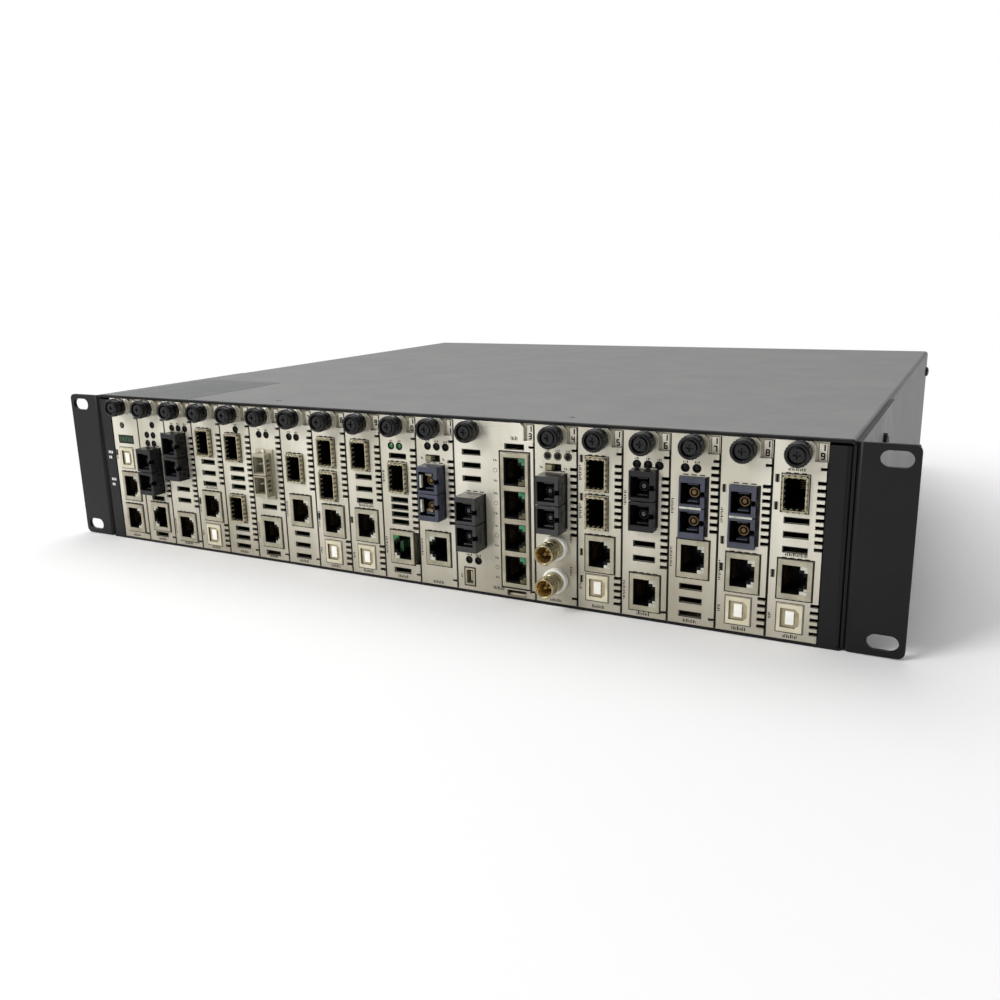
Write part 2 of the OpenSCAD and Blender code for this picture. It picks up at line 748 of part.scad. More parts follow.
module backplane_connectors() color([0.12, 0.12, 0.13]) {
    board_h = board_top - board_z;
    low = board_z + tongue_low_share * board_h;
    high = board_z + tongue_high_share * board_h;
    for (n = [1:slots]) translate([slot_x(n) + board_x + board_t / 2, 0, 0]) difference() {
        slab([-connector_w / 2, connector_w / 2], [connector_y, backplane_y],
            [low - connector_over, high + connector_over]);
        slab([-board_t / 2 - run_gap, board_t / 2 + run_gap],
            [connector_y - cut, connector_y + tongue_d + run_gap], [low - run_gap, high + run_gap]);
    }
    for (s = [-1, 1]) translate([s * bay_x, 0, feed_z])
        block(feed_w, feed_h, [backplane_y + backplane_t, supply_y - run_gap - supply_plate_t]);
}

// Sockets: each is placed at its own centre on the front of a faceplate.
// Its seat is the distance to the board on its left, which carries it.

module jack_hole(flip) along_y([-jack_proud - cut, jack_cavity_d]) mirror([flip ? 1 : 0, 0]) {
    left = -jack_w / 2 + jack_wall;
    translate([left, -jack_plug_h / 2]) square([jack_plug_w, jack_plug_h]);
    translate([left, -jack_step_h / 2]) square([jack_plug_w + jack_step_w, jack_step_h]);
    translate([left, -jack_latch_h / 2]) square([jack_plug_w + jack_step_w + jack_latch_w, jack_latch_h]);
}

module jack(seat, flip) difference() {
    union() {
        block(jack_w, jack_h, [-jack_proud, jack_d]);
        slab([seam - seat, 0], [plate_t + seam, jack_d], [-jack_h / 2, jack_h / 2]);
    }
    jack_hole(flip);
}

module gang(seat) difference() {
    union() {
        block(gang_w, gang_h, [-jack_proud, jack_d]);
        slab([seam - seat, 0], [plate_t + seam, jack_d], [-gang_h / 2, gang_h / 2]);
    }
    for (n = [1:gang_ports]) translate([0, 0, (n - (gang_ports + 1) / 2) * gang_pitch]) jack_hole(false);
}

module cage(seat) difference() {
    union() {
        block(cage_w, cage_h, [-cage_proud, -seam]);
        block(cage_w - cage_wall, cage_h - cage_wall, [-cage_proud, cage_d]);
        slab([seam - seat, 0], [plate_t + seam, cage_d],
            [(cage_wall - cage_h) / 2, (cage_h - cage_wall) / 2]);
    }
    block(cage_w - 2 * cage_wall, cage_h - 2 * cage_wall, [-cage_proud - cut, cage_d - cage_floor]);
}

module fibre(seat, reach) {
    difference() {
        union() {
            block(fibre_w, fibre_h, [-reach, fibre_d - reach]);
            slab([seam - seat, 0], [plate_t + seam, fibre_d - reach], [-fibre_h / 2, fibre_h / 2]);
        }
        for (s = [-1, 1]) translate([0, 0, s * fibre_hole_step])
            block(fibre_hole_w, fibre_hole_h, [-reach - cut, fibre_hole_d - reach]);
    }
    for (s = [-1, 1]) translate([0, 0, s * fibre_hole_step])
        bar_y(ferrule_r, [fibre_hole_d - reach - ferrule_l, fibre_hole_d - reach]);
}

module metal_fibre(seat) difference() {
    union() {
        block(metal_w, metal_h, [-metal_reach, fibre_d]);
        block(metal_rim_w, metal_rim_h, [-metal_rim_t, -seam]);
        slab([seam - seat, 0], [plate_t + seam, fibre_d], [-metal_h / 2, metal_h / 2]);
    }
    for (s = [-1, 1]) translate([0, 0, s * metal_hole_step])
        block(metal_hole_w, metal_hole_h, [-metal_reach - cut, metal_reach]);
}

module port(seat) {
    difference() {
        union() {
            block(port_w, port_h, [-port_proud, port_d]);
            slab([seam - seat, 0], [plate_t + seam, port_d], [-port_h / 2, port_h / 2]);
        }
        difference() {
            block(port_hole_w, port_hole_h, [-port_proud - cut, port_hole_d]);
            block(port_tongue_w, port_tongue_h, [0, port_hole_d + cut]);
        }
    }
}

module mini(seat) difference() {
    union() {
        block(mini_w, mini_h, [-mini_proud, mini_d]);
        slab([seam - seat, 0], [plate_t + seam, mini_d], [-mini_h / 2, mini_h / 2]);
    }
    block(mini_w - 2 * mini_wall, mini_h - 2 * mini_wall, [-mini_proud - cut, mini_d - mini_wall]);
}

module coax(seat) {
    difference() {
        union() {
            bar_y(coax_r, [-coax_l, coax_body_d]);
            bar_y(coax_washer_r, [-coax_washer_t, -seam]);
            translate([0, -coax_washer_t - coax_nut_t, 0]) rotate([-90, 0, 0])
                cylinder(r = coax_nut_r, h = coax_nut_t, $fn = 6);
            for (s = [-1, 1]) translate([0, -coax_l + 3 * coax_lug_r, 0]) scale([1, 1, s])
                cylinder(r = coax_lug_r, h = coax_r + coax_lug_l);
            slab([seam - seat, 0], [plate_t + seam, coax_body_d], [-coax_r, coax_r]);
        }
        difference() {
            bar_y(coax_bore_r, [-coax_l - cut, -coax_washer_t]);
            bar_y(coax_core_r, [-coax_core_l, 0]);
        }
    }
    bar_y(coax_pin_r, [-coax_l + 2 * coax_lug_r, -coax_core_l]);
}

module lamp() bar_y(lamp_r, [-lamp_proud, lamp_d]);
module mark() block(mark_w, mark_h, [0, plate_t + mark_d]);
module lamp_bar(seat) {
    block(bar_w, bar_h, [0, bar_d]);
    slab([seam - seat, 0], [plate_t + seam, bar_d], [-bar_h / 2, bar_h / 2]);
}

// The body of a slide switch, behind its window
module switch_body(seat) difference() {
    slab([seam - seat, switch_w / 2 + switch_wall], [plate_t + seam, plate_t + switch_d],
        [-switch_h / 2 - switch_wall, switch_h / 2 + switch_wall]);
    block(switch_w, switch_h, [plate_t, plate_t + switch_floor]);
}

module socket(f, seat) {
    if (f[0] == "jack") jack(seat, false);
    if (f[0] == "jack_left") jack(seat, true);
    if (f[0] == "gang") gang(seat);
    if (f[0] == "cage") cage(seat);
    if (f[0] == "fibre") fibre(seat, f[3] * fibre_reach);
    if (f[0] == "metal") metal_fibre(seat);
    if (f[0] == "port") port(seat);
    if (f[0] == "mini") mini(seat);
    if (f[0] == "coax") coax(seat);
    if (f[0] == "bar") lamp_bar(seat);
    if (f[0] == "lamp") lamp();
    if (f[0] == "mark") mark();
    if (f[0] == "switch") switch_body(seat);
}

// A rectangular hole in a faceplate, with the hairline gap all round
module hole(w, h) block(w + 2 * seam, h + 2 * seam, [-cut, plate_t + cut]);

// The hole that each kind of piece needs in its faceplate
module window(kind) {
    if (kind == "jack" || kind == "jack_left") hole(jack_w, jack_h);
    if (kind == "gang") hole(gang_w, gang_h);
    if (kind == "cage") hole(cage_w - cage_wall, cage_h - cage_wall);
    if (kind == "fibre") hole(fibre_w, fibre_h);
    if (kind == "metal") hole(metal_w, metal_h);
    if (kind == "port") hole(port_w, port_h);
    if (kind == "mini") hole(mini_w, mini_h);
    if (kind == "bar") hole(bar_w, bar_h);
    if (kind == "mark") hole(mark_w, mark_h);
    if (kind == "switch") hole(switch_w, switch_h);
    if (kind == "vent") hole(vent_w, vent_h);
    if (kind == "coax") bar_y(coax_r + seam, [-cut, plate_t + cut]);
    if (kind == "lamp") bar_y(lamp_r + seam, [-cut, plate_t + cut]);
    if (kind == "hole") bar_y(pin_hole_r, [-cut, plate_t + cut]);
}

// Cards

module edge_notch(w, d, h, share)
    slab([w - d, w + cut], [-cut, plate_t + cut], [share * plate_h, share * plate_h + h]);

module face_plate(k) {
    w = plate_w(k);
    runs = teeth_shares[k];
    low_run = len([for (run = runs) if (run[0] < 2 * hook_low_share) run]) > 0;
    difference() {
        slab([0, w], [0, plate_t], [0, plate_h]);
        along_y([-cut, plate_t + cut]) polygon([
            [w - number_w, plate_h - number_h], [w + cut, plate_h - number_h], [w + cut, plate_h + cut],
            [w - number_w - number_chamfer - cut, plate_h + cut], [w - number_w, plate_h - number_chamfer]]);
        for (run = runs) for (n = [0:run[1] - 1])
            edge_notch(w, tooth_d, tooth_h, run[0] + n * tooth_pitch / plate_h);
        edge_notch(w, hook_d, hook_h, hook_high_share);
        if (!low_run) edge_notch(w, hook_d, hook_h, hook_low_share);
        for (f = face_shares[k]) translate([f[1] * w, 0, f[2] * plate_h]) window(f[0]);
        translate([knob_x, 0, knob_z]) bar_y(bore_r, [-cut, plate_t + cut]);
    }
}

module circuit_board() {
    h = board_top - board_z;
    face = board_x + board_t;
    translate([0, 0, board_z - plate_z]) {
        slab([board_x, face], [board_y, board_y + board_d], [0, h]);
        slab([board_x, face], [board_y + board_d - cut, board_y + board_d + tongue_d],
            [tongue_low_share * h, tongue_high_share * h]);
    }
}

module board_parts() {
    h = board_top - board_z;
    face = board_x + board_t;
    translate([face + seam, board_y, board_z - plate_z]) {
        for (s = chip_shares) translate([0, s[0] * board_d, s[1] * h])
            slab([0, chip_t], [-chip_size / 2, chip_size / 2], [-chip_size / 2, chip_size / 2]);
        for (s = module_shares) translate([0, s[0] * board_d, s[1] * h])
            slab([0, module_t], [-module_d / 2, module_d / 2], [-module_h / 2, module_h / 2]);
        for (s = can_shares) translate([0, s[0] * board_d, s[1] * h])
            rotate([0, 90, 0]) cylinder(r = can_r, h = can_l);
    }
}

// The distance from a piece's centre to the board that carries it, on its left
function seat_of(x) = x - board_x - board_t - floor(x / slot_pitch) * slot_pitch;

module card(k) {
    w = plate_w(k);
    translate([slot_x(card_slots[k]), 0, plate_z]) {
        color([0.80, 0.77, 0.70]) face_plate(k);
        color([0.78, 0.76, 0.72]) translate([knob_x, 0, knob_z]) difference() {
            bar_y(ring_r, [-ring_t, -seam]);
            bar_y(bore_r, [-ring_t - cut, cut]);
        }
        color([0.7, 0.7, 0.68]) slab([board_x + board_t + seam, board_x + board_t + tab_w],
            [plate_t + seam, plate_t + tab_d], [tab_z - plate_z, tab_z - plate_z + tab_h]);
        color([0.05, 0.3, 0.12]) for (n = [0:card_span(k) - 1])
            translate([n * slot_pitch, 0, 0]) circuit_board();
        color([0.1, 0.1, 0.11]) board_parts();
        color([0.3, 0.3, 0.3]) for (f = face_shares[k])
            translate([f[1] * w, 0, f[2] * plate_h]) socket(f, seat_of(f[1] * w));
    }
}

module thumbscrew(k) color([0.07, 0.07, 0.07])
    translate([slot_x(card_slots[k]) + knob_x, 0, plate_z + knob_z]) {
        back = -ring_t - run_gap;
        front = back - knob_l;
        difference() {
            union() {
                bar_y(shank_r, [back - cut, plate_t + shank_l]);
                bar_y(knob_neck_r, [front + knob_step, back]);
                bar_y(knob_r, [front + knob_step, back - knob_rim]);
                bar_y(knob_neck_r - knob_rim, [front, back]);
            }
            for (n = [0:knurls - 1]) rotate([0, n * 360 / knurls, 0])
                slab([knob_r - knurl_d, knob_r + cut], [front + knob_step + knob_rim, back - 2 * knob_rim],
                    [-knurl_w / 2, knurl_w / 2]);
            translate([0, front, 0]) cross_recess(recess_w, recess_l, recess_d);
        }
    }

// The slider of a slide switch on card k, resting at the left end of its window
module slider(k) color([0.85, 0.85, 0.85]) {
    f = [for (g = face_shares[k]) if (g[0] == "switch") g][0];
    translate([slot_x(card_slots[k]) + f[1] * plate_w(k) - switch_travel / 2, 0, plate_z + f[2] * plate_h])
        block(slider_w, slider_h, [-slider_proud, plate_t + slider_d]);
}

// Power supplies: side is -1 for the left one and 1 for the right one

module on_supply(side) translate([side * bay_x, 0, mid_z]) children();

module supply_shell() {
    back = chassis_d + supply_plate_t;
    inner_w = supply_w - 2 * supply_wall;
    inner_h = supply_h - 2 * supply_wall;
    difference() {
        union() {
            difference() {
                block(supply_w, supply_h, [supply_y, chassis_d]);
                block(inner_w, inner_h, [supply_y + supply_wall, chassis_d + cut]);
            }
            block(bay_w + 2 * supply_over, bay_h + 2 * supply_over, [chassis_d, back]);
            slab([-lip_w / 2, lip_w / 2], [chassis_d, back + lip_d],
                [-supply_h / 2 + lip_drop, -supply_h / 2 + lip_drop + lip_t]);
        }
        translate([fan_share * supply_w, 0, 0]) bar_y(fan_r, [chassis_d - cut, back + cut]);
        translate([supply_vent_share * supply_w, 0, 0])
            for (n = [0:vent_rows - 1]) translate([(n - (vent_rows - 1) / 2) * supply_vent_pitch, 0, 0])
                block(supply_vent_w, supply_vent_h, [chassis_d - cut, back + cut]);
    }
}

module fan_frame_solid() translate([fan_share * supply_w, 0, 0]) {
    inner = chassis_d - fan_t;
    difference() {
        block(fan_frame, fan_frame, [inner, chassis_d - seam]);
        bar_y(fan_r, [inner + fan_wall, chassis_d + cut]);
        difference() {
            bar_y(fan_r, [inner - cut, inner + fan_wall + cut]);
            bar_y(hub_r, [inner - 2 * cut, inner + fan_wall]);
            for (a = [45, 135]) rotate([0, a, 0])
                block(2 * fan_r + cut, fan_arm_w, [inner - 2 * cut, inner + fan_wall]);
        }
    }
}

module fan_guard() translate([fan_share * supply_w, 0, 0]) {
    back = chassis_d + supply_plate_t + seam;
    along_y([back, back + guard_t]) {
        for (n = [1:guard_rings]) difference() {
            circle(r = n * guard_share * fan_r + guard_w / 2);
            circle(r = n * guard_share * fan_r - guard_w / 2);
        }
        for (a = [45, 135]) rotate(a) square([2 * fan_r + 4 * guard_w, guard_w], center = true);
    }
}

module inlet() translate([inlet_share * supply_w, 0, 0]) {
    back = chassis_d + supply_plate_t;
    proud = back + inlet_flange_t;
    floor_y = back - inlet_d + inlet_rim;
    difference() {
        union() {
            block(inlet_w, inlet_h, [back - inlet_d, proud]);
            block(inlet_w + 2 * inlet_flange, inlet_h + 2 * inlet_flange, [back + seam, proud]);
        }
        block(inlet_w - 2 * inlet_rim, inlet_h - 2 * inlet_rim, [floor_y, proud + cut]);
    }
    for (p = [[-1, 0], [0, 1], [1, 0]])
        translate([p[0] * pole_step, 0, p[1] * pole_h - pole_drop + pole_w / 2])
            block(pole_w, pole_h, [floor_y, floor_y + pole_l]);
}

module terminals() translate([inlet_share * supply_w, 0, 0]) {
    back = chassis_d + supply_plate_t;
    difference() {
        block(terminal_w, terminal_h, [back + seam, back + terminal_d]);
        for (n = [-1:1]) translate([n * (terminal_cell + lip_t), 0, 0])
            slab([-terminal_cell / 2, terminal_cell / 2], [back + terminal_d / 2, back + terminal_d + cut],
                [-terminal_h / 2 + lip_t, terminal_h / 2 + cut]);
    }
    for (n = [-1:1]) translate([n * (terminal_cell + lip_t), 0, 0]) difference() {
        bar_y(terminal_r, [back + terminal_d / 2 + seam, back + terminal_d - lip_t]);
        translate([0, back + terminal_d - lip_t, 0]) rotate([0, 0, 180])
            cross_recess(head_recess_w, head_recess_l, head_recess_d);
    }
}

module rocker_bezel() translate([rocker_share * supply_w, 0, 0]) {
    back = chassis_d + supply_plate_t;
    hole_w = rocker_w + 2 * run_gap;
    hole_h = 2 * rocker_r + 2 * run_gap;
    difference() {
        union() {
            block(hole_w + 2 * bezel_rim, hole_h + 2 * bezel_rim, [back + seam, back + bezel_proud]);
            block(hole_w + bezel_rim, hole_h + bezel_rim, [back - bezel_d, back + bezel_proud]);
        }
        block(hole_w, hole_h, [back - bezel_d + bezel_rim, back + bezel_proud + cut]);
    }
}

module supply_case(side, with_inlet) color([0.55, 0.56, 0.57]) on_supply(side) {
    back = chassis_d + supply_plate_t;
    difference() {
        supply_shell();
        if (with_inlet) translate([inlet_share * supply_w, 0, 0])
            block(inlet_w + 2 * seam, inlet_h + 2 * seam, [chassis_d - cut, back + cut]);
        translate([rocker_share * supply_w, 0, 0])
            block(rocker_w + 2 * (run_gap + seam) + bezel_rim, 2 * (rocker_r + run_gap + seam) + bezel_rim,
                [chassis_d - cut, back + cut]);
    }
    fan_frame_solid();
    fan_guard();
    if (with_inlet) inlet();
    if (!with_inlet) terminals();
    rocker_bezel();
    translate([0, 0, feed_z - mid_z]) block(socket_w, socket_h, [supply_y - supply_plate_t, supply_y - seam]);
    for (x = [-1, 1]) for (z = [-1, 1])
        translate([x * (supply_w / 2 - supply_screw_inset), back, z * (supply_h / 2 - supply_screw_inset)])
            difference() {
                bar_y(head_r, [seam, head_t]);
                translate([0, head_t, 0]) rotate([0, 0, 180])
                    cross_recess(head_recess_w, head_recess_l, head_recess_d);
            }
}

module supply_board(side) color([0.05, 0.3, 0.12]) on_supply(side) {
    floor_z = -supply_h / 2 + supply_wall;
    low = floor_z + supply_board_z;
    top = low + board_t;
    w = supply_w - 2 * supply_board_inset;
    y = [supply_y + supply_board_inset, chassis_d - fan_t - inlet_d - supply_board_gap];
    d = y[1] - y[0];
    slab([-w / 2, w / 2], y, [low, top]);
    for (a = foot_shares) for (b = foot_shares) translate([(a - 0.5) * w, y[0] + b * d, floor_z])
        cylinder(r = foot_r, h = supply_board_z - seam);
    translate([w / 4, y[0] + d / 3, top + seam])
        slab([-coil_w / 2, coil_w / 2], [-coil_d / 2, coil_d / 2], [0, coil_h]);
    for (s = tank_shares) translate([(s[0] - 0.5) * w, y[0] + s[1] * d, top + seam])
        cylinder(r = tank_r, h = tank_l);
    translate([-w / 4, y[0] + d / 4, top + seam]) {
        slab([-sink_w / 2, sink_w / 2], [-sink_d / 2, sink_d / 2], [0, sink_base]);
        step = (sink_w - sink_fin_t) / (sink_fins - 1);
        for (n = [0:sink_fins - 1]) translate([n * step - sink_w / 2, 0, 0])
            slab([0, sink_fin_t], [-sink_d / 2, sink_d / 2], [0, sink_h]);
    }
}

module fan_rotor(side) color([0.09, 0.09, 0.09]) on_supply(side) translate([fan_share * supply_w, 0, 0]) {
    low = chassis_d - fan_t + fan_wall + blade_gap;
    bar_y(hub_r, [low, low + hub_l]);
    intersection() {
        bar_y(fan_r - blade_gap, [low, low + hub_l]);
        for (n = [0:blades - 1]) rotate([0, n * 360 / blades, 0]) translate([0, low + hub_l / 2, 0])
            rotate([blade_tilt, 0, 0]) slab([hub_r / 2, 2 * fan_r],
                [-blade_t / 2, blade_t / 2], [-blade_chord / 2, blade_chord / 2]);
    }
}

module rocker(side) color([0.1, 0.1, 0.1]) on_supply(side)
    translate([rocker_share * supply_w, chassis_d + supply_plate_t, 0])
    rotate([rocker_tilt, 0, 0]) difference() {
        intersection() {
            rotate([0, 90, 0]) cylinder(r = rocker_r, h = rocker_w, center = true);
            block(rocker_w, 2 * rocker_r, [-rocker_back, rocker_front]);
        }
        for (s = [-1, 1]) translate([0, rocker_back, 0]) rotate([s * -2 * rocker_tilt, 0, 0])
            slab([-rocker_w, rocker_w], [0, rocker_r], s < 0 ? [-2 * rocker_r, 0] : [0, 2 * rocker_r]);
    }

base_pan();
top_cover();
rear_panel();
rack_ear_left();
rack_ear_right();
slot_rail_upper();
slot_rail_lower();
card_guides_upper();
card_guides_lower();
bulkhead();
backplane_board();
backplane_connectors();
chassis_screws();
ground_stud();
supply_case(-1, true);  // psu_left_case
supply_board(-1);  // psu_left_board
fan_rotor(-1);  // psu_left_fan_rotor
rocker(-1);  // psu_left_switch
supply_case(1, false);  // psu_right_case
supply_board(1);  // psu_right_board
fan_rotor(1);  // psu_right_fan_rotor
rocker(1);  // psu_right_switch
card(0);  // slot_01_card
card(1);  // slot_02_card
card(2);  // slot_03_card
card(3);  // slot_04_card
card(4);  // slot_05_card
card(5);  // slot_06_card
card(6);  // slot_07_card
card(7);  // slot_08_card
card(8);  // slot_09_card
card(9);  // slot_10_card
card(10);  // slot_11_card
card(11);  // slot_12_card
card(12);  // slot_14_card
card(13);  // slot_15_card
card(14);  // slot_16_card
card(15);  // slot_17_card
card(16);  // slot_18_card
card(17);  // slot_19_card
thumbscrew(0);  // slot_01_thumbscrew
thumbscrew(1);  // slot_02_thumbscrew
thumbscrew(2);  // slot_03_thumbscrew
thumbscrew(3);  // slot_04_thumbscrew
thumbscrew(4);  // slot_05_thumbscrew
thumbscrew(5);  // slot_06_thumbscrew
thumbscrew(6);  // slot_07_thumbscrew
thumbscrew(7);  // slot_08_thumbscrew
thumbscrew(8);  // slot_09_thumbscrew
thumbscrew(9);  // slot_10_thumbscrew
thumbscrew(10);  // slot_11_thumbscrew
thumbscrew(11);  // slot_12_thumbscrew
thumbscrew(12);  // slot_14_thumbscrew
thumbscrew(13);  // slot_15_thumbscrew
thumbscrew(14);  // slot_16_thumbscrew
thumbscrew(15);  // slot_17_thumbscrew
thumbscrew(16);  // slot_18_thumbscrew
thumbscrew(17);  // slot_19_thumbscrew
slider(10);  // slot_11_slide_switch
slider(12);  // slot_14_slide_switch
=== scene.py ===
"""The looks of the media converter chassis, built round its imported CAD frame."""
import math

import bmesh
import bpy
from mathutils import Matrix, Vector
from mathutils.geometry import tessellate_polygon


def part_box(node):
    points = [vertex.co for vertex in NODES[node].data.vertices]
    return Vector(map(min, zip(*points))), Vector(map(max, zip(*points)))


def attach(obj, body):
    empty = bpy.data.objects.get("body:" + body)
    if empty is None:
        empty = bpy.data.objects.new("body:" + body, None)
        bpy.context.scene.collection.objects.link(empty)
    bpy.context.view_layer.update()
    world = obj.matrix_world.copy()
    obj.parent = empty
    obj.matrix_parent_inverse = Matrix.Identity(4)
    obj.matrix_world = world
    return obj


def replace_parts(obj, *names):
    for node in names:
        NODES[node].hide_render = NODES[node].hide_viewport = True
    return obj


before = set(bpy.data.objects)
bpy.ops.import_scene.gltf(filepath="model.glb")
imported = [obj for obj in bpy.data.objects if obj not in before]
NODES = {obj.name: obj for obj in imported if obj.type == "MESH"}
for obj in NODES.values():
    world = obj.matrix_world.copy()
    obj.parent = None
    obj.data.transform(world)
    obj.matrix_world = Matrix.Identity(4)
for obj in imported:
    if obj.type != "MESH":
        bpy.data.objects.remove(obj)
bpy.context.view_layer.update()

MM = 0.001

# Sizes of the part, in mm, as its source has them
SLOTS, PITCH, PLATE_GAP = 19, 21.8, 0.4
PLATE_Z, PLATE_H, CHASSIS_H = 1.4, 86.1, 88.9
KNOB_L = 7.5
DOUBLE_CARD = 12
# What each faceplate holds: the kind, its centre as shares of the plate's width and height, and for
# a fibre receptacle its reach in mm
FACES = {
    1: "hole .40 .813, bar .50 .715, port .47 .582, jack .53 .379, jack .53 .147, mark .07 .616",
    2: "lamp .57 .830, lamp .33 .759, lamp .57 .759, lamp .33 .701, lamp .57 .701, fibre .51 .516 8,"
       "vent .50 .313, jack_left .53 .182, vent .50 .052",
    3: "lamp .30 .822, lamp .54 .822, lamp .78 .822, fibre .49 .636 7.5, vent .50 .402, vent .50 .323,"
       "jack .53 .134",
    4: "cage .44 .741, vent .50 .610, vent .50 .535, vent .50 .461, jack .53 .308, port .47 .107,"
       "mark .07 .333",
    5: "lamp .56 .845, cage .44 .724, vent .50 .582, vent .50 .521, vent .50 .462, cage .44 .316,"
       "vent .50 .177, vent .50 .118, vent .50 .058",
    6: "lamp .33 .825, lamp .57 .825, metal .48 .571, vent .50 .352, jack .53 .185, vent .50 .040",
    7: "lamp .30 .825, lamp .53 .825, cage .44 .626, jack .53 .353, vent .50 .200, vent .50 .125,"
       "vent .50 .051",
    8: "cage .44 .746, cage .44 .535, jack .53 .312, port .47 .110, mark .07 .335",
    9: "cage .44 .747, vent .50 .614, vent .50 .539, vent .50 .465, jack .53 .311, port .47 .110,"
       "mark .07 .335",
    10: "lamp .33 .820, lamp .56 .820, vent .50 .761, cage .49 .631, vent .50 .496, vent .50 .451,"
        "vent .50 .406, vent .50 .359, jack_left .53 .204, vent .50 .056",
    11: "lamp .33 .835, lamp .57 .835, lamp .81 .835, switch .46 .765, fibre .48 .570 7,"
        "jack_left .53 .225",
    12: "vent .23 .819, vent .23 .744, vent .23 .666, fibre .257 .425 10, lamp .165 .184,"
        "lamp .285 .184, mini .17 .082, vent .773 .868, gang .773 .445, vent .773 .022",
    14: "lamp .33 .834, lamp .57 .834, lamp .81 .834, switch .46 .771, fibre .49 .583 9,"
        "coax .52 .327, coax .52 .138",
    15: "mark .10 .833, mark .10 .625, mark .10 .318, mark .10 .165, cage .45 .756, cage .45 .547,"
        "jack .53 .317, port .47 .124",
    16: "lamp .32 .827, lamp .56 .827, lamp .80 .827, fibre .49 .644 5, vent .50 .403, vent .50 .323,"
        "jack .53 .138",
    17: "lamp .32 .828, lamp .56 .828, fibre .48 .625 1.5, jack .53 .356, vent .50 .203, vent .50 .130,"
        "vent .50 .054",
    18: "mark .10 .741, mark .10 .475, mark .10 .335, fibre .48 .603 1.5, jack .53 .315, port .47 .114",
    19: "mark .10 .813, mark .10 .677, mark .10 .335, cage .45 .744, vent .50 .610, vent .50 .538,"
        "vent .50 .463, jack .53 .314, port .47 .114",
}
# The slots whose fibre receptacle isn't plain black, where the dark grey of slots 12 and 14 is black
# plastic with painted light, and those whose lamps and jack are green
FIBRE_LOOKS = {11: "grey_fibre", 12: "fibre_lit_black", 14: "fibre_lit_black", 17: "blue_fibre", 18: "blue_fibre"}
GREEN_SLOTS = {10}
# The slots that have print over or beside a socket, and those whose lamps have none
OVER_JACK, BESIDE_JACK = {4, 9, 19}, {3, 4, 6, 7, 8, 10, 11, 16, 17, 18}
OVER_CAGE, BESIDE_CAGE = {19}, {10, 15}
BESIDE_FIBRE = {12, 16, 17, 18}
PLAIN_LAMPS = {2}
# Sharper edges than this, in degrees, are rounded and not shaded smooth
SHARP = 35


def slot_x(n):
    return -SLOTS * PITCH / 2 + (n - 1) * PITCH + PLATE_GAP / 2


def span(n):
    """The number of slots that a card takes."""
    return 2 if n == DOUBLE_CARD else 1


def plate_w(n):
    return span(n) * PITCH - PLATE_GAP


# Shader nodes

def map_range(tree, source, limits, smooth=False):
    """Maps source from the first two limits to the last two."""
    n = tree.nodes.new("ShaderNodeMapRange")
    if smooth:
        n.interpolation_type = "SMOOTHSTEP"
    for key, value in zip(("From Min", "From Max", "To Min", "To Max"), limits):
        n.inputs[key].default_value = value
    tree.links.new(source, n.inputs["Value"])
    return n.outputs["Result"]


def combine(tree, operation, a, b):
    """One operation of arithmetic on two values."""
    n = tree.nodes.new("ShaderNodeMath")
    n.operation = operation
    tree.links.new(a, n.inputs[0])
    tree.links.new(b, n.inputs[1])
    return n.outputs["Value"]


def mix_shaders(tree, share, a, b, out):
    """Leads a to the node named out where share is zero, and b where it is one."""
    n = tree.nodes.new("ShaderNodeMixShader")
    tree.links.new(share, n.inputs["Fac"])
    tree.links.new(a, n.inputs[1])
    tree.links.new(b, n.inputs[2])
    tree.links.new(n.outputs["Shader"], tree.nodes[out].inputs["Surface"])


def axis(tree, source, name):
    """One axis of a vector."""
    n = tree.nodes.new("ShaderNodeSeparateXYZ")
    tree.links.new(source, n.inputs["Vector"])
    return n.outputs[name]


# Materials

# The values of a noise at which its dark and its light end are reached
STOPS = (0.3, 0.7)
# A darker tint goes from its full share at the foot of a piece to none at this height, and the
# front lip's painted shade ends at this depth, both in metres
LOW_TINT_FADE = (0.0, 0.055, 0.75, 0.0)
LIP_FADE = (0.0026, 0.0030, 1.0, 0.0)


def srgb(r, g, b):
    """A linear colour from values of 0 to 255."""
    shares = [c / 255 for c in (r, g, b)]
    return [c / 12.92 if c <= 0.04045 else ((c + 0.055) / 1.055) ** 2.4 for c in shares] + [1]


